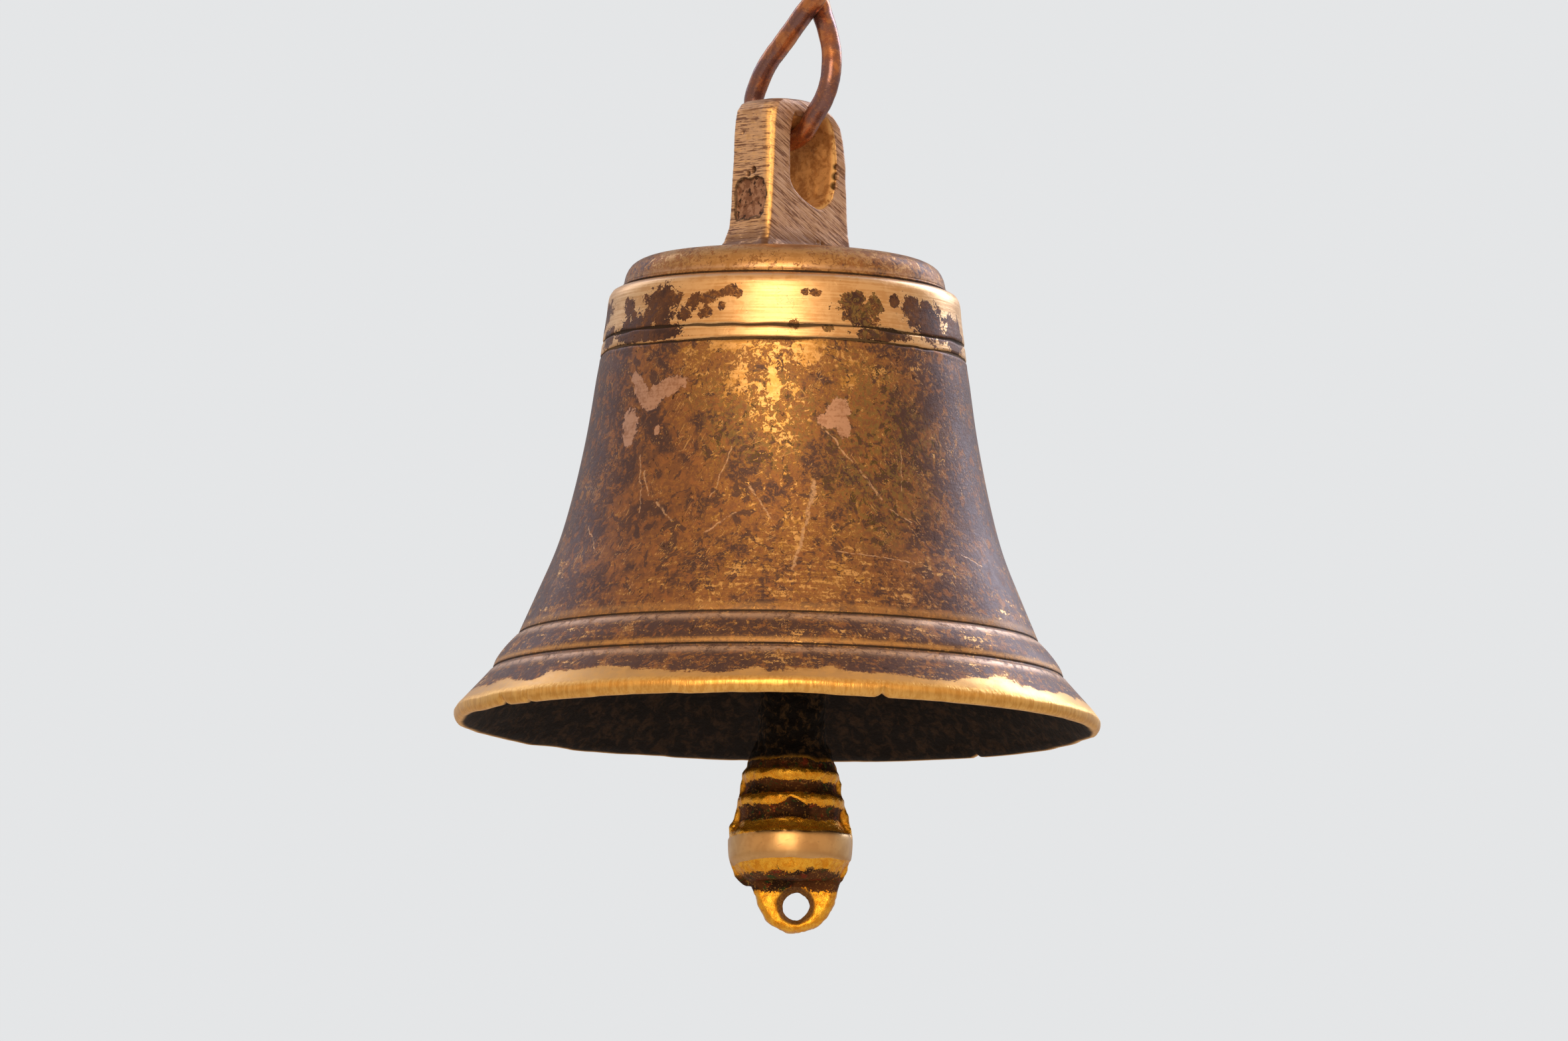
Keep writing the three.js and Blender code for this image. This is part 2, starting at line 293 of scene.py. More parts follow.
class Nodes:
    """Short calls for building one material's node tree."""

    def __init__(self, name):
        self.material = bpy.data.materials.new(name)
        self.material.use_nodes = True
        self.tree = self.material.node_tree
        self.tree.nodes.clear()
        self.shader = self.tree.nodes.new("ShaderNodeBsdfPrincipled")
        output = self.tree.nodes.new("ShaderNodeOutputMaterial")
        self.tree.links.new(self.shader.outputs["BSDF"], output.inputs["Surface"])
        self.place = self.tree.nodes.new("ShaderNodeTexCoord").outputs["Object"]

    def feed(self, socket, value):
        if isinstance(value, bpy.types.NodeSocket):
            self.tree.links.new(value, socket)
        else:
            socket.default_value = value

    def node(self, kind, *values):
        """A new node, with the values fed to its first inputs."""
        node = self.tree.nodes.new("ShaderNode" + kind)
        for socket, value in zip(node.inputs, values):
            self.feed(socket, value)
        return node

    def math(self, operation, a, b=0.0, clamp=False):
        node = self.node("Math", a, b)
        node.operation = operation
        node.use_clamp = clamp
        return node.outputs[0]

    def vector_math(self, operation, *values):
        node = self.node("VectorMath", *values)
        node.operation = operation
        return node.outputs["Value" if operation in ("DOT_PRODUCT", "LENGTH") else "Vector"]

    def times(self, a, b):
        return self.math("MULTIPLY", a, b)

    def add(self, *terms):
        """The sum of the terms. A pair is a value and its weight."""
        parts = [self.times(*term) if isinstance(term, tuple) else term for term in terms]
        total = parts[0]
        for part in parts[1:]:
            total = self.math("ADD", total, part)
        return total

    def most(self, *values):
        total = values[0]
        for value in values[1:]:
            total = self.math("MAXIMUM", total, value)
        return total

    def rest(self, value):
        return self.math("SUBTRACT", 1.0, value)

    def attribute(self, name):
        node = self.node("Attribute")
        node.attribute_name = name
        return node.outputs["Fac"]

    def stretched(self, x, y, z):
        """The place in the object, multiplied along each axis."""
        node = self.node("Mapping", self.place)
        node.inputs["Scale"].default_value = (x, y, z)
        return node.outputs[0]

    def sheared(self, rise, along):
        """The place, lifted by rise times X, with X and Y multiplied by along."""
        x, y, z = self.node("SeparateXYZ", self.place).outputs
        lifted = self.add(z, self.times(x, rise))
        return self.node("CombineXYZ", self.times(x, along), self.times(y, along), lifted).outputs[0]

    def turned(self, degrees, x, y, z):
        """The place, turned about an axis towards the viewer's side, then multiplied."""
        turn = self.node("VectorRotate", self.place)
        turn.rotation_type = "AXIS_ANGLE"
        turn.inputs["Axis"].default_value = tuple(NEAR)
        turn.inputs["Angle"].default_value = math.radians(degrees)
        return self.vector_math("MULTIPLY", turn.outputs[0], (x, y, z))

    def noise(self, size, detail=3.0, roughness=0.55, vector=None, distortion=0.0):
        """Noise centred on 0, with features about size millimetres across."""
        node = self.node("TexNoise", self.place if vector is None else vector)
        node.inputs["Scale"].default_value = 1 / (size * MM)
        node.inputs["Detail"].default_value = detail
        node.inputs["Roughness"].default_value = roughness
        node.inputs["Distortion"].default_value = distortion
        return self.math("SUBTRACT", node.outputs["Fac"], 0.5)

    def edge(self, value, low, high):
        """0 below low, 1 above high, smooth between."""
        node = self.node("MapRange", value, low, high)
        node.interpolation_type = "SMOOTHSTEP"
        return node.outputs["Result"]

    def span(self, value, low, high, start, end):
        """value between low and high, carried over to between start and end."""
        return self.node("MapRange", value, low, high, start, end).outputs["Result"]

    def blend(self, factor, a, b):
        """Colour a where factor is 0, colour b where it is 1."""
        node = self.node("Mix", factor)
        node.data_type = "RGBA"
        for socket, colour in ((node.inputs[6], a), (node.inputs[7], b)):
            self.feed(socket, colour if isinstance(colour, bpy.types.NodeSocket) else (*colour, 1))
        return node.outputs[2]

    def mix(self, factor, a, b):
        """Number a where factor is 0, number b where it is 1."""
        node = self.node("Mix", factor)
        self.feed(node.inputs[2], a)
        self.feed(node.inputs[3], b)
        return node.outputs[0]

    def finish(self, colour, metal, roughness, height, depth):
        """Sets the shader. height is relief from 0 to 1, depth its scale in millimetres."""
        bump = self.node("Bump")
        bump.inputs["Distance"].default_value = depth * MM
        bump.inputs["Strength"].default_value = 1.0
        self.feed(bump.inputs["Height"], height)
        self.feed(self.shader.inputs["Base Color"], colour)
        self.feed(self.shader.inputs["Metallic"], metal)
        self.feed(self.shader.inputs["Roughness"], roughness)
        self.tree.links.new(bump.outputs[0], self.shader.inputs["Normal"])
        return self.material


# ---- colours ------------------------------------------------------------------------------

GOLD = (0.78, 0.45, 0.17)
PALE_GOLD = (0.90, 0.58, 0.29)
BAND_GOLD = (0.74, 0.42, 0.18)
RIM_GOLD = (0.95, 0.56, 0.16)
OCHRE_GOLD = (0.56, 0.29, 0.08)
OCHRE = (0.40, 0.185, 0.055)
DOME_GOLD = (0.50, 0.285, 0.135)
FILED_GOLD = (0.80, 0.42, 0.10)
WORN_GOLD = (0.84, 0.48, 0.16)
LINE_GOLD = (0.62, 0.34, 0.12)
TAN = (0.66, 0.41, 0.24)
# Pale tan for the worn crests and ledges, with their painted highlight.
EDGE_TAN_AND_HIGHLIGHT = (0.70, 0.46, 0.31)
PINK = (0.64, 0.38, 0.26)
DULL_PINK = (0.47, 0.25, 0.155)
RUST = (0.40, 0.165, 0.058)
RED_BROWN = (0.25, 0.11, 0.05)
BROWN = (0.16, 0.08, 0.045)
PURPLE_BROWN = (0.10, 0.055, 0.048)
DARK_BROWN = (0.055, 0.026, 0.020)
OLIVE = (0.25, 0.165, 0.055)
DARK_OLIVE = (0.085, 0.055, 0.020)
GRIME = (0.028, 0.018, 0.010)
GREEN = (0.035, 0.075, 0.02)
# Painted shade: the near-black browns of the inside of the cup.
INSIDE_SHADE = ((0.012, 0.008, 0.006), (0.05, 0.027, 0.014))

STROKE_BROWN = (0.24, 0.125, 0.08)
FILED_PINK, FILED_TAN = (0.58, 0.37, 0.25), (0.72, 0.47, 0.29)
FILED_SHINE = (0.74, 0.53, 0.38)
STAIN = (0.40, 0.21, 0.09)
# Bare filed brass on the lug's chamfer, with a painted highlight.
CHAMFER_GOLD_AND_HIGHLIGHT = (0.93, 0.57, 0.21)
HOLE_BROWN, HOLE_OCHRE, HOLE_FLARE = (0.36, 0.155, 0.045), (0.64, 0.34, 0.125), (0.75, 0.48, 0.20)
FLAW_BROWN, FLAW_PINK, FLAW_DARK = (0.25, 0.12, 0.07), (0.44, 0.25, 0.165), (0.06, 0.028, 0.018)
PIT_BROWN = (0.05, 0.022, 0.008)

WIRE_VIOLET, WIRE_RED, WIRE_RUST = (0.24, 0.13, 0.125), (0.38, 0.14, 0.07), (0.60, 0.25, 0.10)
WIRE_SHINE, WIRE_DARK, WIRE_CUT = (0.66, 0.36, 0.16), (0.08, 0.035, 0.022), (0.78, 0.48, 0.24)

CLAPPER_GOLDS = ((0.80, 0.32, 0.018), (1.0, 0.53, 0.055))
GOLD_SPOTS = (0.30, 0.105, 0.015)
CLAPPER_DIRTS = ((0.125, 0.045, 0.014), (0.04, 0.017, 0.008))
DIRT_RED, DIRT_GOLD = (0.20, 0.035, 0.012), (0.46, 0.24, 0.06)
SHANK_CRUST = ((0.010, 0.007, 0.005), (0.10, 0.055, 0.022))
STRUCK_GOLDS = ((0.68, 0.40, 0.165), (0.76, 0.47, 0.20))
SCORE_BROWN = (0.40, 0.22, 0.10)
TAB_HOLE_BROWNS = ((0.09, 0.042, 0.016), (0.28, 0.14, 0.055))

IRON_DARK, IRON_RUST = (0.05, 0.035, 0.028), (0.22, 0.08, 0.03)
STAPLE_IRON, LINK_IRON = (0.13, 0.07, 0.04), (0.15, 0.08, 0.05)
FLOOR_GREYS = ((0.62, 0.62, 0.61), (0.68, 0.68, 0.67))
BEHIND_GLOW, FRONT_GLOW = (0.70, 0.68, 0.70, 1), (1.0, 0.71, 0.46, 1)
GROUND_GLOW = (0.22, 0.17, 0.13, 1)
BACKDROP = (0.78, 0.79, 0.80, 1)


# ---- bell: shape --------------------------------------------------------------------------

BELL_COLUMNS = 512
# How far one degree reaches round the lip.
MM_PER_DEGREE = 1.33
BEAD_HEIGHTS = (12.3, 20.7)
# Each groove is (height, strength); each notch in the rim is (angle, half width, depth).
GROOVES = ((90.5, 1.0), (87.4, 0.9))
RIM_NOTCHES = ((19.0, 0.9, 1.0), (-58.0, 1.1, 1.1), (-50.5, 0.8, 0.8), (140.0, 1.0, 0.9))
WAIST_FOOT = (61.25, 21.3)


def bell_outline():
    """Radius and height along the casting's section, from inside the crown round to its top."""
    inside = spline(
        [(0.6, 107.5), (14, 107.3), (26, 106.4), (34, 103.4), (37.4, 97), (38.6, 88), (40.5, 75)]
        + [(43, 62), (46, 50), (51, 37.5), (57, 23), (65.8, 9.2), (71.6, 2.2)],
        2.2,
    )
    rim = spline(
        [(71.6, 2.2), (72.9, 0.75), (74.2, 0.1), (75.2, 0.15), (75.85, 0.9), (76.15, 2.1)]
        + [(76.05, 2.95), (75.5, 3.75)],
        0.4,
    )
    flare = straight([(75.5, 3.75), (72.2, 7.3), (68.5, 11.3)], 0.7)
    lower_bead = spline([(68.5, 11.3), (68.0, 11.85), (67.55, 12.1), (67.2, 12.5), (67.15, 13.1)], 0.22)
    ovolo = spline([(67.15, 13.1), (66.7, 14.4), (65.6, 16.2), (64.0, 18.2), (62.6, 19.7)], 0.5)
    upper_bead = spline([(62.6, 19.7), (62.0, 20.3), (61.55, 20.5), (61.3, 20.8), WAIST_FOOT], 0.22)
    waist = spline(
        [WAIST_FOOT, (57.3, 30.4), (52.6, 41.8), (49.4, 53.1), (46.2, 68.3), (44.1, 82), (43.5, 85.5)],
        1.25,
    )
    band = straight([(43.5, 85.5), (42.6, 92.5)], 0.22)
    upper = spline([(42.6, 92.5), (41.95, 97), (41.6, 100.3), (41.3, 101.6), (40.6, 102.7)], 0.8)
    shelf = spline([(40.6, 102.7), (39.6, 103.2), (38.5, 103.45)], 0.3)
    foot = straight(
        [(38.5, 103.45), (38.2, 103.6), (38.3, 104.2), (37.95, 104.35), (38.0, 104.8)], 0.18
    )
    dome = spline(
        [(38.0, 104.8), (37.5, 106.8), (36.3, 108.8), (33.8, 110.3), (28, 111.4), (16, 112.6)]
        + [(5, 113.3), (0.6, 113.4)],
        1.1,
    )
    parts = [inside, rim, flare, lower_bead, ovolo, upper_bead, waist, band, upper, shelf, foot, dome]
    return np.vstack([part[:-1] for part in parts] + [dome[-1:]])


def groove_field(points, height):
    """1 along the two hand-cut grooves, which wander and swell, and 0 away from them."""
    ring = points * np.array([1.0, 1.0, 0.0])
    field = np.zeros(len(points))
    for seed, (level, strength) in enumerate(GROOVES):
        wander = 0.55 * noise(ring, 16, 31 + seed) + 0.16 * noise(ring, 4, 41 + seed)
        width = 0.36 * (1 + 0.6 * noise(ring, 7, 51 + seed))
        field = np.maximum(field, strength * hump(height - wander, level, width))
    return field


def bell_surface(outline):
    """Vertices of the casting: the turned shape, with its hand-made unevenness."""
    degrees = np.arange(BELL_COLUMNS) * 360 / BELL_COLUMNS
    radius, height = (np.repeat(column, BELL_COLUMNS) for column in outline.T)
    angle = np.tile(degrees, len(outline))
    points = around(radius, angle, height)
    outward = around(np.ones(len(angle)), angle, np.zeros(len(angle)))
    rim = step(height, 5.5, 3.0) * step(radius, 70.5, 72.5)
    inner = inside_mask(radius, height)
    ring = around(np.full(len(angle), 40.0), angle, np.zeros(len(angle)))
    swell = 0.12 * rough(points, 30, 2, 11) + 0.55 * inner * rough(points, 7, 4, 21)
    swell = swell - 0.42 * (1 - inner) * groove_field(points, height)
    for level in BEAD_HEIGHTS:
        swell = swell + 0.12 * noise(points, 9, 61) * hump(height, level, 2.0)
    swell = swell + rim * (0.12 * rough(ring, 3.2, 3, 71) + 0.18 * noise(ring, 11, 74))
    lift = rim * (0.42 * noise(ring, 15, 81) + 0.24 * noise(ring, 5, 82) + 0.08 * noise(ring, 1.6, 83))
    for place, width, deep in RIM_NOTCHES:
        dent = deep * hump(wrap(angle - place) * MM_PER_DEGREE, 0, width)
        lift = lift + rim * step(height, 3.6, 0.4) * dent
    moved = points + outward * swell[:, None] + UP * np.maximum(lift, -height)[:, None]
    flat = np.linalg.norm(moved[:, :2], axis=1)
    moved[:, :2] *= np.minimum(1, (MOUTH_R - 0.02) / np.maximum(flat, 1))[:, None]
    return moved, radius, angle, height


def inside_mask(radius, height):
    """1 on the inside of the cup, 0 on its outside."""
    outer_z = [0, 3, 12, 21, 30.4, 41.8, 53.1, 68.3, 83.4, 100, 104, 109, 120]
    outer_r = [76, 76, 67.5, 61.5, 57.3, 52.6, 49.4, 46.2, 43.9, 41.6, 38, 36, 0]
    wall = np.interp(height, outer_z, outer_r)
    below_rim = step(radius, 72.9, 71.9) * step(height, 3.5, 1.5)
    under_crown = step(height, 108.6, 107.9) * step(radius, 36, 34)
    within = np.maximum(step(wall - radius, 1.2, 2.4), below_rim)
    return np.maximum(within, under_crown) * (height < 108.6)


# ---- bell: patina map ---------------------------------------------------------------------
# Each patch is (angle, height, half width, half height, tilt), in degrees and millimetres.

DARK_BLOTCHES = (
    (-44, 95.5, 5.5, 5.0, 60), (-53, 90.5, 9, 4.0, 0), (-40, 89.3, 5, 2.0, 0),
    (-60, 96.5, 2.2, 2.4, 0), (-33.5, 93.4, 2.0, 1.4, 10), (-30, 96.2, 2.0, 1.7, 20),
    (-24.5, 97.2, 2.8, 1.3, 20), (-18.5, 98.9, 2.4, 1.0, 15), (-15.5, 98.2, 1.2, 1.2, 0),
    (-25.5, 93.6, 1.9, 1.2, 10), (-20.5, 95.0, 0.9, 0.9, 0), (-36, 97.5, 1.0, 1.2, 0),
    (6.5, 98.6, 1.1, 0.9, 0), (9.7, 98.3, 1.3, 0.9, 0), (23, 97.2, 3.0, 1.7, 0),
    (25, 93.8, 5.2, 3.2, -20), (30, 96.0, 2.2, 2.2, 0), (46, 95.0, 4.0, 4.0, 0),
    (54, 93.6, 6.0, 4.6, -12), (38, 97.6, 1.4, 1.5, 0), (32, 89.3, 7.5, 1.5, 0),
    (3.5, 90.5, 1.3, 1.3, 0), (14, 90.0, 1.5, 0.8, 0), (70, 92, 6, 5, 0), (103, 96, 7, 2.6, 12),
    (112, 91.5, 5, 2.2, -10), (148, 94.5, 6, 4.4, 30), (158, 90, 9, 2.2, 0),
    (170, 98, 3, 1.5, 10), (195, 95, 8, 3, -20), (208, 97.5, 2, 1.4, 0), (232, 91, 11, 3, 5),
    (243, 96, 4, 3.4, -30), (276, 96, 7, 3, 15), (286, 90.5, 4, 2.4, 0),
)
GOLD_PATCHES = (
    (-16, 86.2, 4.5, 1.7, 5), (7.5, 85.2, 4.0, 1.8, 0), (8.6, 82.5, 2.2, 2.6, -20),
    (-3, 76, 1.6, 4.0, 8), (-13, 77.6, 2.2, 3.6, -15), (20, 77, 2.6, 1.8, 0),
    (-30, 84, 2.6, 1.4, 0), (120, 80, 5, 4, 0), (190, 70, 6, 5, 0), (260, 76, 5, 6, 0),
)
PINK_PATCHES = (
    (-47.5, 75.6, 5.2, 1.9, -55), (-37.5, 75.9, 6.0, 2.1, 17), (-43.0, 73.4, 3.0, 2.5, 0),
    (-51, 79, 1.5, 1.5, 0), (-50.5, 67.2, 2.6, 4.4, 8), (-39, 65.7, 0.8, 1.3, 0),
    (16.5, 69.6, 2.6, 3.6, -10), (12.8, 67.6, 2.6, 1.6, -15), (18, 65.8, 1.8, 2.0, 0),
    (128, 62, 4.6, 1.9, 35), (132, 64, 2.2, 3.2, 0), (212, 80, 2.2, 5, 20),
    (216, 77, 3.4, 1.7, -20), (168, 46, 6, 1.6, 10),
)
OLIVE_ZONES = (
    (27, 60, 16, 22, 0), (24, 95, 7, 5, 0), (-6, 68, 16, 14, 0), (200, 60, 20, 22, 0),
    (110, 70, 16, 15, 0),
)


# Each level line is (height, width): edges of the mouldings, and the hollows between them. The pale
# lines are worn crests and ledges with a painted highlight along them.
OCHRE_LINES = ((21.9, 0.6), (13.6, 0.55))
EDGE_WEAR_AND_HIGHLIGHT_LINES = ((19.7, 0.8), (11.3, 0.8), (102.7, 0.4), (105, 0.4))
HOLLOW_LINES = ((20.9, 0.28), (12.7, 0.28), (103.7, 0.3))
# Angles of the waist's three lighter columns.
LIGHT_COLUMNS = (-2, 118, 236)


def line_field(lines, height):
    return sum(hump(height, middle, width) for middle, width in lines)


def patch_field(patches, radius, angle, height):
    """Highest of the patches at each vertex: 1 at a middle, 0.5 on an outline, 0 far away."""
    field = np.zeros(len(angle))
    for place, level, half_width, half_height, tilt in patches:
        across = np.radians(wrap(angle - place)) * radius
        above = height - level
        lean = math.radians(tilt)
        along = across * math.cos(lean) + above * math.sin(lean)
        over = above * math.cos(lean) - across * math.sin(lean)
        distance = np.hypot(along / half_width, over / half_height)
        field = np.maximum(field, np.clip(1 - 0.5 * distance, 0, 1))
    return field


def paint_bell(piece, radius, angle, height, points):
    """Stores where the patina, its wear, each kind of mark, and the painted shade and highlights lie on
    the casting.
    """
    inner = inside_mask(radius, height)
    outer = 1 - inner
    turn = wrap(angle)
    wavy = height + 1.7 * noise(points, 9, 95) + 0.8 * noise(points, 3.5, 96)
    upper_band = step(height, 87.0, 87.8) * step(height, 103.4, 102.8)
    dome = step(height, 103.4, 104.2)
    bare_rim = step(wavy, 6.9, 5.3) * step(radius, 65.5, 69.5)
    column = sum(hump(wrap(turn - middle), 0, 24) for middle in LIGHT_COLUMNS)
    high = step(height, 70, 84) * step(np.abs(turn), 60, 20)
    gilt = 0.32 + 0.20 * column * step(height, 20, 34) + 0.14 * high + 0.14 * rough(points, 24, 2, 91)
    gilt = gilt + 0.06 * step(height, 36, 24) + 0.03 * step(height, 23, 20)
    gilt = gilt + 0.85 * upper_band + 0.22 * dome + 0.95 * bare_rim
    gold = patch_field(GOLD_PATCHES, radius, angle, height)
    gilt = gilt + 0.32 * step(gold, 0.3, 0.8) * (1 - upper_band)
    hollow = line_field(HOLLOW_LINES, height) + 1.3 * groove_field(points, height)
    # Painted shade: the patina is drawn darker and more purple on the sides turned away from the
    # viewer, and on the mouldings below the waist.
    flank = np.maximum(0.8 * step(np.abs(turn + 6), 26, 70), 0.7 * step(height, 21.5, 20.5))
    paint(
        piece,
        gilt=gilt,
        blotch=patch_field(DARK_BLOTCHES, radius, angle, height) * upper_band,
        pink=patch_field(PINK_PATCHES, radius, angle, height),
        olive=patch_field(OLIVE_ZONES, radius, angle, height),
        flank=flank * (1 - upper_band) * (1 - bare_rim),
        ochre_line=np.clip(line_field(OCHRE_LINES, height), 0, 1) * outer,
        pale_line=np.clip(line_field(EDGE_WEAR_AND_HIGHLIGHT_LINES, height), 0, 1) * outer,
        hollow=np.clip(hollow, 0, 1) * outer,
        inside=inner,
        band=upper_band,
        dome=dome * outer,
        bare_rim=bare_rim * outer,
        rim=step(height, 4.4, 3.5) * step(radius, 72, 74) * outer,
        lower=step(height, 48, 28),
    )


# ---- bell: material -----------------------------------------------------------------------
# Each scratch is (angle, height, angle, height, half width), in degrees and millimetres.

SCRATCHES = (
    (9.0, 53, 6.8, 44, 0.55), (6.8, 44, 3.2, 31, 0.42), (22.5, 56, 27.5, 49.4, 0.33),
    (-8.4, 51.6, -2.6, 43.4, 0.26), (-35.4, 48.2, -29, 43.4, 0.26), (-41, 56, -38.5, 50, 0.24),
    (-43.5, 60, -40, 46, 0.18), (12, 66, 20, 58, 0.24), (30, 47, 36, 44.5, 0.2),
    (-20, 40, -12, 45, 0.2), (36, 62, 34.4, 52, 0.16), (-14, 61, -19, 49, 0.2),
    (52, 38, 60, 36, 0.2), (-60, 44, -52, 37, 0.18), (14, 36, 33, 34.6, 0.14),
    (120, 60, 131, 40, 0.3), (186, 55, 180, 33, 0.3), (228, 62, 236, 50, 0.3),
    (205, 42, 221, 48, 0.22), (160, 68, 170, 58, 0.22),
)
SCRATCH_RADIUS = 50.0


def scratch_mask(n):
    """1 along each of the long scratches, with ragged sides and gaps."""
    x, y, z = n.node("SeparateXYZ", n.place).outputs
    towards = n.add((x, NEAR[0]), (y, NEAR[1]))
    sideways = n.add((x, RIGHT[0]), (y, RIGHT[1]))
    angle = n.math("ARCTAN2", sideways, towards)
    above = n.math("DIVIDE", n.math("SUBTRACT", z, LIP_Z), MM)
    round_it = n.add((angle, SCRATCH_RADIUS), (n.noise(4, 4, 0.6), 3.0))
    unrolled = n.node("CombineXYZ", round_it, n.add(above, (n.noise(1.5, 3), 0.8))).outputs[0]
    total = 0.0
    for start_angle, start_z, end_angle, end_z, half_width in SCRATCHES:
        start = Vector((math.radians(wrap(start_angle)) * SCRATCH_RADIUS, start_z, 0))
        end = Vector((math.radians(wrap(end_angle)) * SCRATCH_RADIUS, end_z, 0))
        distance = segment_distance(n, unrolled, start, end)
        line = n.rest(n.edge(distance, half_width * 0.4, half_width * 1.3))
        total = n.most(total, line)
    return n.times(total, n.edge(n.noise(1.3, 4, 0.7), -0.14, 0.05))


def segment_distance(n, point, start, end):
    """How far a point is from the line between start and end."""
    along = end - start
    offset = n.vector_math("SUBTRACT", point, start)
    reached = n.vector_math("DOT_PRODUCT", offset, along)
    part = n.math("DIVIDE", reached, along.length_squared, clamp=True)
    foot = n.node("VectorMath", along)
    foot.operation = "SCALE"
    n.feed(foot.inputs["Scale"], part)
    return n.vector_math("LENGTH", n.vector_math("SUBTRACT", offset, foot.outputs[0]))


def bell_material():
    n = Nodes("bell_brass")
    broad, fine = n.noise(9, 4, 0.6), n.noise(0.55, 3, 0.65)
    medium = n.noise(2.6, 5, 0.65, distortion=0.6)
    flecks = n.noise(1.7, 7, 0.74, distortion=1.0)
    crumbs = n.noise(0.8, 5, 0.72, distortion=0.6)
    lathe = n.noise(0.5, 3, 0.6, n.stretched(0.03, 0.03, 1.0))
    streak = n.noise(0.8, 4, 0.65, n.stretched(0.12, 0.12, 1.0))
    filing = n.noise(0.95, 4, 0.65, n.stretched(1.0, 1.0, 0.14))
    band, inside, rim = n.attribute("band"), n.attribute("inside"), n.attribute("rim")
    flank, bare_rim, dome = n.attribute("flank"), n.attribute("bare_rim"), n.attribute("dome")
    ragged = n.add(medium, (fine, 0.45))

    blotch = n.edge(n.add(n.attribute("blotch"), (ragged, 1.3)), 0.44, 0.49)
    spread = n.add(flecks, (broad, 0.4), (crumbs, 0.45), (n.attribute("gilt"), 0.5))
    spread = n.add(spread, (n.times(streak, n.attribute("lower")), 0.6), (blotch, -0.50))
    bare = n.edge(spread, 0.335, 0.355)
    stained = n.edge(spread, 0.18, 0.30)
    pink = n.edge(n.add(n.attribute("pink"), (ragged, 0.75)), 0.47, 0.51)
    olive = n.edge(n.add(n.attribute("olive"), broad, (blotch, 0.25)), 0.34, 0.72)
    olive = n.times(olive, n.edge(n.noise(1.1, 5, 0.7, distortion=0.8), 0.0, 0.04))
    waist = n.rest(n.most(band, dome, bare_rim))
    # The painted shade on the sides and mouldings also spreads the tarnish there.
    tarnish = n.edge(n.add(n.noise(4.5, 6, 0.7, distortion=0.7), (flank, 0.10)), 0.055, 0.085)
    tarnish = n.times(tarnish, n.most(blotch, waist))
    specks = n.edge(n.noise(1.6, 5, 0.72, distortion=0.9), 0.10, 0.13)
    specks = n.times(specks, n.most(blotch, n.times(waist, n.edge(n.noise(12, 2), -0.14, 0.04))))
    pinholes = n.times(n.edge(n.noise(0.9, 3, 0.7), 0.20, 0.23), n.most(band, dome))
    hollow = n.edge(n.add(n.attribute("hollow"), (ragged, 0.7)), 0.42, 0.72)
    scratches, nicks = scratch_mask(n), fine_scratches(n)

    # Purple-brown patina where the broad noise is low, and more of it in the painted shade on the sides
    # and mouldings.
    patina = n.blend(n.edge(n.add(broad, (flank, -0.16)), -0.12, 0.02), PURPLE_BROWN, RED_BROWN)
    patina = n.blend(n.times(n.edge(medium, 0.0, 0.12), 0.6), patina, RUST)
    patina = n.blend(n.times(blotch, 0.6), patina, DARK_BROWN)
    patina = n.blend(n.times(stained, 0.75), patina, OCHRE)
    patina = n.blend(n.times(olive, 0.75), patina, OLIVE)
    patina = n.blend(n.times(tarnish, 0.85), patina, n.blend(olive, PURPLE_BROWN, DARK_OLIVE))
    patina = n.blend(n.times(specks, 0.85), patina, DARK_BROWN)
    worn = n.blend(n.edge(n.add(ragged, (streak, 0.8)), -0.12, 0.14), OCHRE_GOLD, GOLD)
    turned = n.blend(n.edge(n.add((medium, 0.7), lathe), -0.16, 0.12), BAND_GOLD, PALE_GOLD)
    filed = n.blend(n.edge(n.add(filing, (medium, 0.5)), -0.12, 0.10), FILED_GOLD, RIM_GOLD)
    smooth = n.blend(n.edge(n.add(medium, (streak, 0.5)), -0.12, 0.12), GOLD, WORN_GOLD)
    metal = n.blend(band, worn, turned)
    metal = n.blend(n.times(dome, 0.55), metal, DOME_GOLD)
    metal = n.blend(bare_rim, metal, n.blend(rim, smooth, filed))
    colour = n.blend(bare, patina, metal)
    colour = n.blend(n.times(n.times(nicks, waist), 0.5), colour, GOLD)
    colour = n.blend(n.times(scratches, 0.8), colour, TAN)
    rosy = n.blend(n.edge(n.add(medium, (fine, 0.6), (lathe, 0.5)), -0.16, 0.08), DULL_PINK, PINK)
    colour = n.blend(n.times(pink, 0.92), colour, rosy)
    ochre = n.times(n.attribute("ochre_line"), n.edge(ragged, -0.3, 0.05))
    colour = n.blend(n.times(ochre, 0.9), colour, LINE_GOLD)
    # Pale tan along the bead crests and the dome's foot: wear on the crests, with a painted highlight.
    pale = n.times(n.attribute("pale_line"), n.edge(ragged, -0.22, 0.06))
    colour = n.blend(n.times(pale, 0.8), colour, EDGE_TAN_AND_HIGHLIGHT)
    grime = n.most(n.times(hollow, 0.88), n.times(pinholes, 0.6))
    colour = n.blend(grime, colour, GRIME)
    # Painted shade: the inside of the cup is drawn near-black, mottled between two dark browns.
    dark_inside = n.blend(n.edge(medium, -0.06, 0.16), *INSIDE_SHADE)
    colour = n.blend(inside, colour, dark_inside)

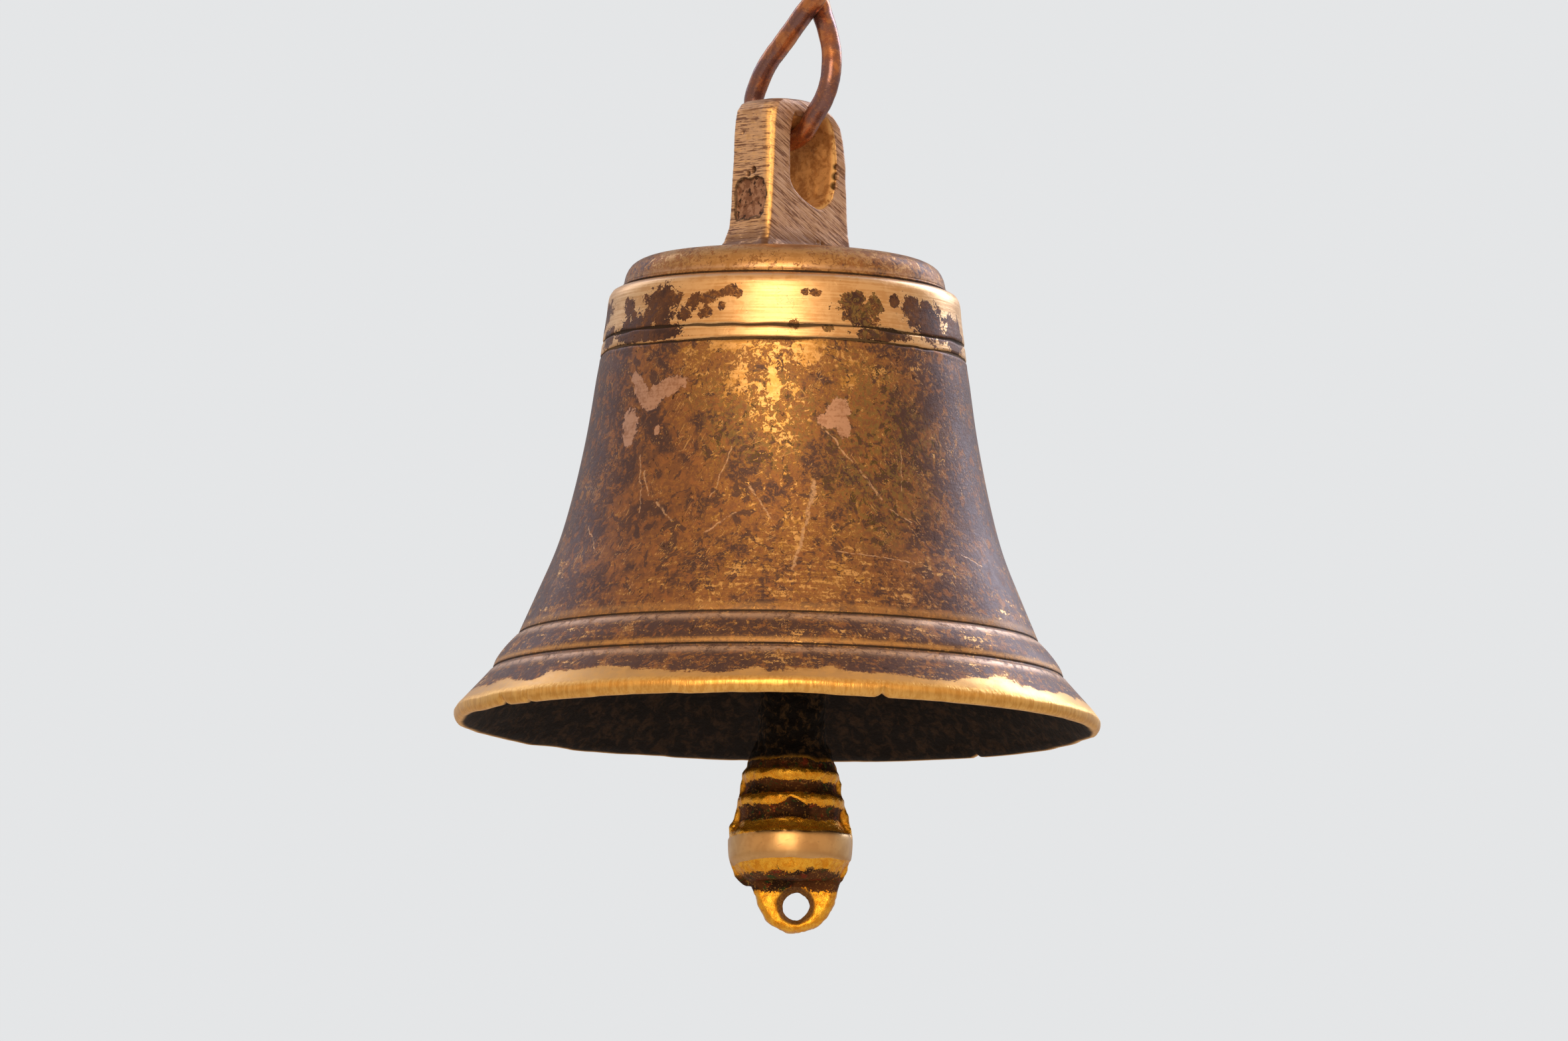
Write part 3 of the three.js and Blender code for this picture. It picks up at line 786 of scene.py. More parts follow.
    clean = n.most(bare, pink, pale)
    metallic = n.mix(clean, 0.55, n.mix(waist, 1.0, 0.8))
    metallic = n.mix(n.most(grime, inside), metallic, 0.3)
    roughness = n.mix(clean, n.add(0.45, (medium, 0.35)), n.add(0.36, (ragged, 0.25)))
    roughness = n.mix(n.most(grime, inside), roughness, 0.8)
    crusty = n.mix(clean, n.times(n.noise(0.9, 4, 0.7), 0.8), n.times(fine, 0.08))
    height = n.add((clean, -0.35), crusty, (lathe, n.mix(band, 0.12, 0.3)))
    height = n.add(height, (n.times(filing, rim), 1.2), (pinholes, -0.3))
    height = n.add(height, (scratches, -0.3), (nicks, -0.1), (hollow, -0.5))
    height = n.add(height, (n.times(inside, n.noise(2.2, 5, 0.7)), 5.0))
    n.shader.inputs["Specular IOR Level"].default_value = 0.3
    return n.finish(colour, metallic, roughness, height, 0.12)


def fine_scratches(n):
    """Many hairline scratches, in three directions, in places."""
    total = 0.0
    for degrees, size in ((28, 0.36), (-38, 0.33), (64, 0.4)):
        vector = n.turned(degrees, 1.0, 1.0, 0.05)
        hair = n.noise(size, 1, 0.5, vector, distortion=0.15)
        here = n.edge(n.noise(5 + size, 2, 0.5), 0.05, 0.12)
        total = n.most(total, n.times(n.edge(hair, 0.15, 0.2), here))
    return total


def make_bell():
    outline = bell_outline()
    points, radius, angle, height = bell_surface(outline)
    low_pole, high_pole = ([[0, 0, end[1]]] for end in (outline[0], outline[-1]))
    points = np.vstack([low_pole, points, high_pole])
    piece = mesh_object("bell_cup", points, turned_faces(len(outline), BELL_COLUMNS))
    columns = [np.concatenate([[row[0]], row, [row[-1]]]) for row in (radius, angle, height)]
    paint_bell(piece, *columns, points)
    piece.data.materials.append(bell_material())
    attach(piece, "bell")
    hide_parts("bell_casting")


# ---- lug ----------------------------------------------------------------------------------
# Rows of the lug: height, lowest and highest X, half thickness along Y.

LUG_ROWS = (
    (110.5, -17.5, 16.6, 9.8), (112.6, -15.4, 15.4, 8.4), (114.5, -14.0, 15.0, 7.5),
    (118, -12.9, 14.7, 6.9), (124, -12.4, 14.4, 6.6), (134, -12.2, 13.9, 6.5),
    (140, -12.1, 13.2, 6.4), (143.5, -12.0, 12.2, 6.35), (146, -11.6, 9.9, 6.2),
    (147.6, -10.6, 7.2, 5.9), (148.6, -9.0, 4.0, 5.4), (149.0, -6.5, 0.5, 4.6),
)
LUG_HALF = 6.5
NEAR_CHAMFER = 2.1
OTHER_CHAMFER = 0.9
LUG_HOLE = (
    (-4.9, 140), (-5.0, 134), (-4.6, 129.2), (-1.6, 126.2), (1.9, 124.6), (4.8, 123.9),
    (7.6, 125.6), (9.1, 129), (9.6, 134), (9.2, 139.5), (8.0, 143.6), (4.6, 147.0), (0.2, 147.4),
    (-3.6, 145),
)
HOLE_SLANT = 0.26
# Each ring of the hole is (Y, size).
HOLE_FLARES = (
    (10, 1.12), (7.2, 1.05), (5.8, 1.0), (0, 0.97), (-5.2, 0.99), (-6.4, 1.06), (-10, 1.3),
)
BRIDGE_R = 6.9
# Middle and reach of the flaw, along Y and in height.
FLAW_MIDDLE, FLAW_REACH = (-0.1, 124.6), (5.3, 5.2)
# Each pit is a place and a size.
PITS = (
    (9.9, -6.5, 131.8, 1.0), (9.4, -6.5, 129.6, 0.9), (9.9, -6.5, 134.0, 0.7),
    (-12.3, -1.0, 131.4, 0.7), (-12.3, 0.6, 130.6, 0.6), (3.2, -6.6, 115.0, 0.8),
    (4.8, -6.7, 114.6, 0.9), (6.2, -6.8, 114.3, 0.7), (6.0, 6.5, 118.0, 1.0),
    (14.2, 1.5, 128.0, 0.9), (-12.2, 2.6, 140.5, 0.35), (-12.2, -2.0, 144.0, 0.3),
)


def lug_ring(z, x_low, x_high, half):
    """One row of the lug. Its near corner is eased into the side face, sharp on the other."""
    near = NEAR_CHAMFER * (0.42 + 0.6 * (z - 112) / (LUG_TOP - 112))
    far = OTHER_CHAMFER
    corners = [
        (x_high, -half + far), (x_high, half - far), (x_high - far, half), (x_low + far, half),
        (x_low, half - far), (x_low, -half + 1.45 * near), (x_low + 0.16 * near, -half + 0.9 * near),
        (x_low + 0.46 * near, -half + 0.40 * near), (x_low + 0.95 * near, -half), (x_high - far, -half),
    ]
    return np.array([(x, y, z) for x, y in corners])


def hole_cutter():
    """The egg-shaped hole, slanting through the lug and flared, less the half-round bridge."""
    outline = spline(LUG_HOLE + LUG_HOLE[:1], 0.8)[:-1]
    middle = outline.mean(axis=0)
    rings = []
    for y, grow in HOLE_FLARES:
        flat = middle + (outline - middle) * grow
        flat[:, 0] -= HOLE_SLANT * (y + LUG_HALF)
        rings.append(np.column_stack([flat[:, 0], np.full(len(flat), float(y)), flat[:, 1]]))
    cutter = loft_object("hole_cutter", rings)
    turn = np.linspace(0, 2 * np.pi, 40, endpoint=False)
    section = np.column_stack([BRIDGE_R * np.cos(turn), LUG_TOP + BRIDGE_R * np.sin(turn)])
    ends = [np.column_stack([np.full(len(turn), x), section]) for x in (-30.0, 30.0)]
    combine(cutter, loft_object("bridge", ends), "DIFFERENCE")
    return cutter


def make_lug():
    piece = loft_object("bell_lug", [lug_ring(*row) for row in LUG_ROWS])
    combine(piece, hole_cutter(), "DIFFERENCE")
    remesh(piece, 0.24)
    points, normal = vertex_points(piece)
    x, y, z = points.T
    side_face = step(-normal[:, 0], 0.5, 0.8) * (x < -9)
    hole_face = step(-normal[:, 1], 0.5, 0.8)
    in_hole = (np.abs(y) < 6.3) & (x > -7.5) & (x < 10.6) & (z > 122.8) & (z < LUG_TOP - 1.6)
    in_hole = (in_hole & ((x < 6) | (normal[:, 0] < 0.2)) & (np.abs(normal[:, 1]) < 0.8)).astype(float)
    outside = 1 - in_hole
    strokes = rough(points + np.outer(0.10 * y, UP), (6, 6, 0.7), 3, 101)
    slanted = rough(points + np.outer(0.55 * x, UP), (6, 6, 0.8), 3, 111)
    filed = np.where(hole_face > 0.5, slanted, strokes)
    relief = 0.05 * filed * outside + 0.24 * rough(points, 9, 2, 121)
    flaw = flaw_field(points, side_face)
    pits = pit_field(points)
    relief = relief - 0.8 * step(flaw, 0.5, 0.57) * step(z, 118.5, 124) - 0.9 * pits
    relief = relief + in_hole * (0.34 * rough(points, 2.6, 3, 131) - 0.2)
    move_vertices(piece, points + normal * relief[:, None])
    chamfer = step(-(normal[:, 0] + normal[:, 1]) / math.sqrt(2), 0.86, 0.97) * outside
    paint(
        piece,
        flaw=flaw,
        pits=pits,
        in_hole=in_hole,
        chamfer=chamfer,
        side_face=side_face,
        hole_face=hole_face * outside,
        foot=step(z, 120, 112),
        flare=step(np.abs(y), 5.2, 6.0) * in_hole,
        relief=filed,
    )
    piece.data.materials.append(lug_material())
    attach(piece, "bell")
    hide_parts("bell_casting")


def flaw_field(points, side_face):
    """The sunken as-cast patch low on the side face: over 0.5 inside it."""
    across = (points[:, 1] - FLAW_MIDDLE[0]) / FLAW_REACH[0]
    above = (points[:, 2] - FLAW_MIDDLE[1]) / FLAW_REACH[1]
    distance = (np.abs(across) ** 3 + np.abs(above) ** 3) ** (1 / 3)
    field = 1 - 0.5 * distance + 0.11 * rough(points, 2.0, 3, 141)
    return np.clip(field, 0, 1) * side_face


def pit_field(points):
    """Casting pits: at the hole's far edge, low on the pierced face and on the side face."""
    total = np.zeros(len(points))
    ragged = 0.35 * rough(points, 1.1, 2, 151)
    for x, y, z, size in PITS:
        distance = np.linalg.norm(points - np.array([x, y, z]), axis=1) / size
        total = np.maximum(total, step(distance + ragged, 1.25, 0.55))
    return total


def lug_material():
    n = Nodes("lug_brass")
    large, medium, fine = n.noise(8, 3), n.noise(2.0, 4, 0.6, distortion=0.5), n.noise(0.6, 3, 0.6)
    relief, flaw, foot = n.attribute("relief"), n.attribute("flaw"), n.attribute("foot")
    chamfer, hole, pits = n.attribute("chamfer"), n.attribute("in_hole"), n.attribute("pits")
    side, hole_face = n.attribute("side_face"), n.attribute("hole_face")
    level = n.noise(0.36, 3, 0.65, n.sheared(0.0, 0.075))
    slant = n.noise(0.36, 3, 0.65, n.sheared(0.55, 0.075))
    strokes = n.mix(hole_face, level, slant)
    filed = n.add((relief, 0.05), strokes, (medium, 0.25))
    tone = n.blend(side, FILED_PINK, FILED_TAN)
    skin = n.blend(n.edge(filed, -0.09, 0.0), STROKE_BROWN, tone)
    skin = n.blend(n.times(n.edge(filed, 0.05, 0.14), 0.8), skin, n.blend(side, FILED_SHINE, PALE_GOLD))
    skin = n.blend(n.times(n.edge(n.add(large, (medium, 0.4)), 0.0, 0.18), 0.5), skin, STAIN)
    skin = n.blend(n.times(foot, n.edge(n.add(large, medium, (filed, -0.6)), -0.2, 0.0)), skin, BROWN)
    # The chamfer is painted bright gold: its bare filed brass, with a painted highlight along it that
    # varies with the filing.
    chamfer_highlight = n.times(chamfer, n.add(0.7, (n.add(filed, fine), 2.2)))
    skin = n.blend(n.math("MULTIPLY", chamfer_highlight, 1.0, clamp=True), skin, CHAMFER_GOLD_AND_HIGHLIGHT)
    mottle = n.edge(n.add(medium, (large, 0.5), (fine, 0.3)), -0.2, 0.12)
    old = n.blend(mottle, HOLE_BROWN, HOLE_OCHRE)
    crumbs = n.edge(n.add(n.noise(1.0, 5, 0.7), (fine, 0.3)), 0.10, 0.2)
    old = n.blend(n.times(crumbs, 0.6), old, DARK_BROWN)
    skin = n.blend(hole, skin, old)
    skin = n.blend(n.times(n.attribute("flare"), n.edge(medium, -0.15, 0.0)), skin, HOLE_FLARE)
    in_flaw = n.edge(n.add(flaw, (fine, 0.08)), 0.5, 0.53)
    cast = n.blend(n.edge(medium, -0.06, 0.05), FLAW_BROWN, FLAW_PINK)
    cast = n.blend(n.edge(n.noise(1.5, 4, 0.7), 0.06, 0.11), cast, FLAW_DARK)
    skin = n.blend(n.times(in_flaw, n.span(foot, 0.0, 0.35, 1.0, 0.75)), skin, cast)
    brink = n.times(n.edge(flaw, 0.485, 0.505), n.rest(n.edge(flaw, 0.53, 0.57)))
    skin = n.blend(n.times(brink, 0.7), skin, GRIME)
    pores = n.times(n.edge(n.noise(0.9, 3, 0.7), 0.17, 0.2), n.edge(large, 0.02, 0.1))
    marks = n.most(n.times(pits, 0.9), n.times(pores, 0.7))
    skin = n.blend(marks, skin, PIT_BROWN)
    dull = n.most(hole, marks, in_flaw)
    roughness = n.mix(dull, n.add(0.44, (strokes, 0.3)), 0.6)
    metallic = n.mix(chamfer, n.mix(dull, 0.65, 0.5), 0.95)
    height = n.add((strokes, n.mix(dull, 0.8, 0.1)), (n.noise(0.9, 4, 0.65), n.mix(dull, 0.2, 1.0)))
    n.shader.inputs["Specular IOR Level"].default_value = 0.35
    return n.finish(skin, metallic, roughness, height, 0.12)


# ---- hook ---------------------------------------------------------------------------------

HOOK_WIRE_R = 2.35
EYE_R = BRIDGE_R + GAP + HOOK_WIRE_R
UPPER_HOOK_R = 15
UPPER_HOOK_Z = HOOK_TOP - HOOK_WIRE_R - UPPER_HOOK_R
HOOK_SIDES = 40
CUT_BACK = 1.0
CUT_RINGS = 24
CUT_SIDE = (
    (2.75, -7.05, 172.4), (2.5, -8.5, 169.3), (2, -10.6, 165.8), (1, -13.3, 159),
    (0.3, -13.5, 153), (0.1, -11.8, 148.6),
)
SHANK = (
    (0, 11.4, 149.8), (-0.2, 9.4, 154.6), (-0.6, 6.3, 158.5), (-1.2, -0.3, 164),
    (-1.8, -6.1, 168.8), (-1.8, -11.4, 173.6), (-1, -14.4, 179.6),
)


def hook_arc(radius, middle_z, degrees):
    """Points of an arc in the hook's plane, at degrees up from its side towards -Y."""
    turns = [math.radians(a) for a in degrees]
    return [(0, -radius * math.cos(a), middle_z + radius * math.sin(a)) for a in turns]


def hook_path():
    """The wire's middle line, from its cut end round the lug's bridge to the upper hook's end."""
    eye = hook_arc(EYE_R, LUG_TOP, range(-30, -151, -20))
    upper = hook_arc(UPPER_HOOK_R, UPPER_HOOK_Z, (0, 30, 60, 90, 120, 150, 180, 204))
    return spline([*CUT_SIDE, *eye, *SHANK, *upper], 0.45)


def make_hook():
    path = hook_path()
    piece = wire_object("hook_wire", path, HOOK_WIRE_R, HOOK_SIDES, False, 201)
    points, normal = vertex_points(piece)
    leading = (path[0] - path[3]) / np.linalg.norm(path[0] - path[3])
    # The lower end is sheared off at a slant that faces the shank and the viewer.
    slant = 0.85 * leading - 0.85 * RIGHT + 0.6 * NEAR
    slant /= np.linalg.norm(slant)
    beyond = (points - (path[0] - leading * CUT_BACK)) @ slant
    cut = (np.arange(len(points)) < CUT_RINGS * HOOK_SIDES) & (beyond > 0)
    along = beyond / (leading @ slant)
    move_vertices(piece, np.where(cut[:, None], points - leading * along[:, None], points))
    paint(piece, cut=cut.astype(float))
    piece.data.materials.append(hook_material())
    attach(piece, "hook")
    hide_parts("hanger_hook")


def hook_material():
    n = Nodes("hook_wire")
    large, medium, fine = n.noise(9, 3), n.noise(2.2, 5, 0.65, distortion=0.5), n.noise(0.5, 3, 0.65)
    colour = n.blend(n.edge(large, -0.10, 0.10), WIRE_VIOLET, WIRE_RED)
    colour = n.blend(n.times(n.edge(n.add(medium, (large, 0.8)), -0.06, 0.18), 0.8), colour, WIRE_RUST)
    colour = n.blend(n.times(n.edge(fine, 0.06, 0.2), 0.4), colour, WIRE_SHINE)
    colour = n.blend(n.times(n.edge(n.noise(1.3, 4, 0.7), 0.13, 0.2), 0.6), colour, WIRE_DARK)
    colour = n.blend(n.times(n.attribute("cut"), 0.85), colour, WIRE_CUT)
    roughness = n.add(0.27, (medium, 0.25), (fine, 0.15))
    height = n.add((medium, 0.35), (fine, 0.35))
    return n.finish(colour, 0.85, roughness, height, 0.07)


# ---- clapper ------------------------------------------------------------------------------

SHANK_R = 7.9
EYE_HOLE_Z = 79.0
EYE_HOLE_R = 4.9
TAB_SHIFT = 1.6
TAB_HOLE_Z = -42.2
TAB_HOLE_R = 3.15
# Each is the middle height and the half height of a dirty hollow between ridges.
DIRTY_HOLLOWS = ((-8.4, 2.2), (-15.0, 1.6), (-20.9, 1.6), (-36.6, 2.0))
CLAPPER_SECTION = (
    (9.6, -36.4), (11.0, -35.6), (12.3, -34.4), (13.3, -32.6), (14.25, -31.2), (14.5, -29.6),
    (14.55, -27.5), (14.4, -25.9), (14.05, -25.0), (13.3, -24.4), (12.5, -23.2), (11.9, -21.6),
    (11.8, -20.2), (12.5, -19.0), (12.75, -17.9), (12.3, -16.6), (11.2, -15.6), (10.7, -14.2),
    (10.9, -13.0), (11.45, -11.9), (11.3, -10.8), (10.5, -9.8), (9.9, -7.8), (9.2, -6.2),
    (8.4, -4.6), (8.0, -2.0), (7.9, 6), (7.85, 30), (7.9, 66), (7.3, 70.5), (5.5, 73.2),
)
FLASH = (
    (8.6, -3.5), (9.9, -7.8), (11.3, -11.6), (12.1, -15.5), (12.8, -18.6), (13.6, -22),
    (14.5, -25), (14.6, -28), (14.3, -31), (13.5, -33.4), (12.3, -35.6), (10.5, -37.2),
)
TAB_OUTLINE = (
    (-9.2, -31), (-9.0, -36), (-8.2, -39.5), (-6.6, -43.4), (-3.9, -46.7), (-0.2, -48.3),
    (3.4, -48.1), (7.6, -46.2), (10.0, -42.6), (11.2, -38.6), (11.8, -35.4), (11.4, -31),
)


def local(points):
    """From the clapper's own X (right), Y (away from the viewer), Z to millimetres in the bell."""
    x = np.asarray(points, dtype=float)[:, 0] + CLAPPER_OFFSET
    y = np.asarray(points, dtype=float)[:, 1]
    return np.outer(x, RIGHT) - np.outer(y, NEAR) + np.outer(np.asarray(points)[:, 2], UP)


def to_local(points):
    x = points @ RIGHT - CLAPPER_OFFSET
    return np.column_stack([x, -(points @ NEAR), points[:, 2]])


def plate(name, outline, half_thickness, puff):
    """A flat plate with the outline in the clapper's XZ plane, its edges thinned by puff."""
    outline = np.asarray(outline, dtype=float)
    middle = outline.mean(axis=0)
    rings = []
    for y, shrink in ((1.0, puff), (0.55, 0.0), (-0.55, 0.0), (-1.0, puff)):
        flat = middle + (outline - middle) * (1 - shrink)
        depth = np.full(len(flat), y * half_thickness)
        rings.append(local(np.column_stack([flat[:, 0], depth, flat[:, 1]])))
    return loft_object(name, rings)


def peg(name, x, z, radii):
    """A round cutter along the clapper's Y, as (depth, radius) rings."""
    turn = np.linspace(0, 2 * np.pi, 40, endpoint=False)
    rings = []
    for y, radius in radii:
        depth = np.full(len(turn), float(y))
        flat = [x + radius * np.cos(turn), depth, z + radius * np.sin(turn)]
        rings.append(local(np.column_stack(flat)))
    return loft_object(name, rings)


def make_clapper():
    section = spline(CLAPPER_SECTION, 0.6)
    count = 96
    turn = np.arange(count) * 2 * np.pi / count
    rings = []
    for radius, z in section:
        flat = np.column_stack([radius * np.cos(turn), radius * np.sin(turn), np.full(count, z)])
        rings.append(local(flat))
    piece = loft_object("clapper_body", rings)
    block = [(-12, 69.5), (12, 69.5), (12, 90), (-12, 90)]
    for back, front in ((14, 2.8), (-2.8, -14)):
        cheek = [local(np.array([(x, y, z) for x, z in block])) for y in (back, front)]
        combine(piece, loft_object("cheek", cheek), "DIFFERENCE")
    arch = np.linspace(0, np.pi, 20)
    eye = [(-SHANK_R, 66.0), (SHANK_R, 66.0)]
    eye += [(SHANK_R * math.cos(a), EYE_HOLE_Z + SHANK_R * math.sin(a)) for a in arch]
    combine(piece, plate("eye", eye[::-1], 2.75, 0.06), "UNION")
    fin = spline([(-r, z) for r, z in FLASH] + [(r + 0.15, z) for r, z in FLASH[::-1]], 1.0)
    combine(piece, plate("flash", fin[::-1], 0.85, 0.03), "UNION")
    tab = spline(TAB_OUTLINE, 1.0)
    combine(piece, plate("tab", tab[::-1], 3.1, 0.13), "UNION")
    bell_mouth = [(6, 6.6), (2.9, 5.1), (1.6, 4.9), (-1.6, 4.9), (-2.9, 5.1), (-6, 6.6)]
    combine(piece, peg("eye_hole", 0, EYE_HOLE_Z, bell_mouth), "DIFFERENCE")
    flared = [(5, 5.6), (3.0, 4.4), (1.2, 3.3), (-0.8, TAB_HOLE_R), (-3.0, 4.4), (-5, 5.6)]
    combine(piece, peg("tab_hole", TAB_SHIFT, TAB_HOLE_Z, flared), "DIFFERENCE")
    remesh(piece, 0.34)
    shape_clapper(piece)
    piece.data.materials.append(clapper_material())
    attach(piece, "clapper")
    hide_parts("clapper")


def shape_clapper(piece):
    """Cast roughness, uneven ridges, the parting line's flash, and where each finish lies."""
    points, normal = vertex_points(piece)
    own = to_local(points)
    x, y, z = own.T
    angle = np.degrees(np.arctan2(x, -y))
    ring = np.column_stack([x, y, np.zeros(len(z))])
    lean = z + 0.7 * noise(ring, 13, 301) + 0.4 * noise(ring, 5, 302) - 0.045 * x
    polished = step(lean, -32.1, -31.7) * step(lean, -25.2, -25.6)
    shank = step(z + 0.6 * noise(own, 3, 305), -9.2, -7.2)
    rough_skin = (1 - polished) * (0.34 * rough(own, 3.4, 4, 311) + 0.20 * rough(own, 1.3, 2, 321))
    rough_skin = rough_skin + shank * 0.32 * rough(own, 3.0, 3, 331)
    seam = step(np.abs(y), 1.6, 0.9) * step(np.abs(x), 8.6, 9.4) * step(z, -36, -33) * step(z, -3, -7)
    rough_skin = rough_skin + 0.35 * seam * (1 - polished) * rough(own, 2.6, 2, 351)
    fan = np.clip((-17.0 - z) * 6.5, -6, 26) - np.abs(angle - 1 - 3 * noise(own, 2, 353))
    bite = step(fan, -4, 4) * step(z, -22.5, -21)
    rough_skin = rough_skin - 0.4 * bite
    hole = np.hypot(x - TAB_SHIFT, z - TAB_HOLE_Z)
    rough_skin = rough_skin + 0.2 * step(hole, 5, 3.2) * rough(own, 1.3, 2, 355)
    tab = step(z, -36.5, -39)
    rough_skin = rough_skin + 0.25 * tab * rough(own, 4, 2, 357)
    move_vertices(piece, points + normal * rough_skin[:, None])
    groove = np.zeros(len(z))
    wobble = 0.5 * noise(own, 3.0, 361) + 0.5 * noise(own, 9, 362)
    for middle, half in DIRTY_HOLLOWS:
        spill = 1.2 if middle < -30 else 0.0
        distance = np.abs(z - middle + wobble)
        groove = np.maximum(groove, step(distance, half + 1.5 + spill, half - 1.3 - spill))
    groove = np.maximum(groove, bite)
    paint(
        piece,
        groove=np.clip(groove, 0, 1) * (1 - shank) * (1 - polished),
        polished=polished,
        shank=shank,
        flash=seam * (1 - polished),
        in_hole=step(hole, 4.7, 4.2) * step(z, -36, -38),
    )


def clapper_material():
    n = Nodes("clapper_brass")
    large, medium, fine = n.noise(6, 3), n.noise(1.9, 5, 0.68, distortion=0.6), n.noise(0.5, 3, 0.7)
    groove, polished = n.attribute("groove"), n.attribute("polished")
    shank, flash, hole = n.attribute("shank"), n.attribute("flash"), n.attribute("in_hole")
    gold = n.blend(n.edge(n.add(medium, (fine, 0.5)), -0.16, 0.14), *CLAPPER_GOLDS)
    gold = n.blend(n.times(n.edge(n.noise(1.2, 5, 0.72), 0.12, 0.17), 0.6), gold, GOLD_SPOTS)
    dirt = n.blend(n.edge(large, -0.06, 0.06), *CLAPPER_DIRTS)
    dirt = n.blend(n.edge(n.noise(2.4, 4, 0.68, distortion=0.8), 0.08, 0.12), dirt, GREEN)
    red_place = n.noise(3.1, 3, 0.6, n.stretched(1.1, 0.9, 1.3))
    dirt = n.blend(n.edge(red_place, 0.10, 0.14), dirt, DIRT_RED)
    dirt = n.blend(n.times(n.edge(n.add(fine, (medium, 0.6)), 0.08, 0.16), 0.8), dirt, DIRT_GOLD)
    dirty = n.edge(n.add(groove, (medium, 1.3), (fine, 0.7)), 0.46, 0.56)
    dirty = n.times(dirty, n.rest(n.times(flash, 0.75)))
    colour = n.blend(dirty, gold, dirt)
    dark_inside = n.blend(n.edge(medium, -0.02, 0.16), *SHANK_CRUST)
    colour = n.blend(shank, colour, dark_inside)
    bright = n.blend(n.edge(n.noise(3.5, 2), -0.1, 0.1), *STRUCK_GOLDS)
    scored = n.times(n.edge(n.noise(0.4, 2, 0.6, n.turned(70, 1, 1, 0.06)), 0.15, 0.2), 0.3)
    bright = n.blend(scored, bright, SCORE_BROWN)
    shine = n.edge(n.add(polished, (fine, 0.3)), 0.45, 0.6)
    colour = n.blend(shine, colour, bright)
    worn_hole = n.blend(n.edge(fine, -0.1, 0.1), *TAB_HOLE_BROWNS)
    colour = n.blend(n.times(hole, 0.85), colour, worn_hole)
    roughness = n.mix(dirty, n.add(0.27, (fine, 0.2)), 0.62)
    roughness = n.mix(n.most(shank, hole), roughness, 0.8)
    roughness = n.mix(shine, roughness, n.add(0.34, (fine, 0.1)))
    metallic = n.mix(dirty, 0.82, 0.7)
    metallic = n.mix(n.most(shank, hole), metallic, 0.35)
    metallic = n.mix(shine, metallic, 1.0)
    lumps = n.add((medium, 1.3), (fine, 0.35), (n.times(fine, dirty), 0.8))
    lumps = n.add(lumps, (n.times(n.noise(2.0, 5, 0.7), shank), 3))
    height = n.mix(shine, lumps, n.times(scored, -0.12))
    n.shader.inputs["Specular IOR Level"].default_value = 0.25
    return n.finish(colour, metallic, roughness, height, 0.2)


# ---- staple and link ----------------------------------------------------------------------

STAPLE_WIRE_R = 2.0
STAPLE_BAR_Z = 95.0
STAPLE_TOP_Z = 109.4
LINK_WIRE_R = 1.8
LINK_ARC_R = 6.8
INNER_SIDES = 24
LINK_TOP_Z = STAPLE_BAR_Z + STAPLE_WIRE_R + GAP + LINK_WIRE_R
LINK_BOTTOM_Z = 81.1


def iron_material(name, tint):
    n = Nodes(name)
    large, medium, fine = n.noise(4, 3), n.noise(1.4, 4, 0.65), n.noise(0.4, 3, 0.65)
    colour = n.blend(n.edge(n.add(medium, large), -0.08, 0.12), IRON_DARK, tint)
    colour = n.blend(n.edge(fine, 0.06, 0.16), colour, IRON_RUST)
    roughness = n.add(0.66, (medium, 0.4))
    return n.finish(colour, 0.55, roughness, n.add(medium, (fine, 0.6)), 0.2)


def make_staple():
    half, top, bar = 7.5, STAPLE_TOP_Z, STAPLE_BAR_Z
    corner = 2.4
    path = [(-half, 0, top), (-half, 0, bar + 2 * corner), (-half + 0.6, 0, bar + 1.5)]
    path += [(-half + corner, 0, bar), (0, 0, bar), (half - corner, 0, bar)]
    path += [(half - 0.6, 0, bar + 1.5), (half, 0, bar + 2 * corner), (half, 0, top)]
    piece = wire_object("staple_wire", local(spline(path, 0.5)), STAPLE_WIRE_R, INNER_SIDES, False, 401)
    piece.data.materials.append(iron_material("staple_iron", STAPLE_IRON))
    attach(piece, "bell")
    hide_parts("crown_staple")


def make_link():
    middle = (LINK_TOP_Z + LINK_BOTTOM_Z) / 2
    reach = (LINK_TOP_Z - LINK_BOTTOM_Z) / 2 - LINK_ARC_R
    path = []
    for degrees in range(0, 360, 5):
        side, rise = math.cos(math.radians(degrees)), math.sin(math.radians(degrees))
        shift = reach * max(-1.0, min(1.0, rise * 3))
        path.append((0, LINK_ARC_R * side, middle + shift + LINK_ARC_R * rise))
    piece = wire_object("link_wire", local(np.array(path)), LINK_WIRE_R, INNER_SIDES, True, 411)
    piece.data.materials.append(iron_material("link_iron", LINK_IRON))
    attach(piece, "link")
    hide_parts("clapper_link")


# ---- stage --------------------------------------------------------------------------------

CAMERA_DISTANCE = 4.8
CAMERA_ELEVATION = math.radians(-6.75)
CAMERA_ROLL = math.radians(1.0)
# The point aimed at: millimetres right of the axis, and above the lip.
AIM = (0.783, 49.3)
FRAME_WIDTH = 0.3697
FLOOR_Z = -1.05
FLOOR_REACH = 8.0
SQUARE = ((-1, -1), (1, -1), (1, 1), (-1, 1))
# Each light is a name, a direction (right, near, up), a distance, a size, a power and a colour.
LIGHTS = (
    ("key", (-0.10, 1.0, 0.28), 2.6, (1.5, 1.5), 27, (1.0, 0.78, 0.52)),
    ("left_sky", (-0.70, -0.70, 0.62), 1.9, (0.5, 1.0), 3, (0.72, 0.78, 1.0)),
    ("right_sky", (0.70, -0.70, 0.62), 1.9, (0.6, 1.2), 16, (0.72, 0.80, 1.0)),
)
# The height that the lights face.
LIT_HEIGHT = 60


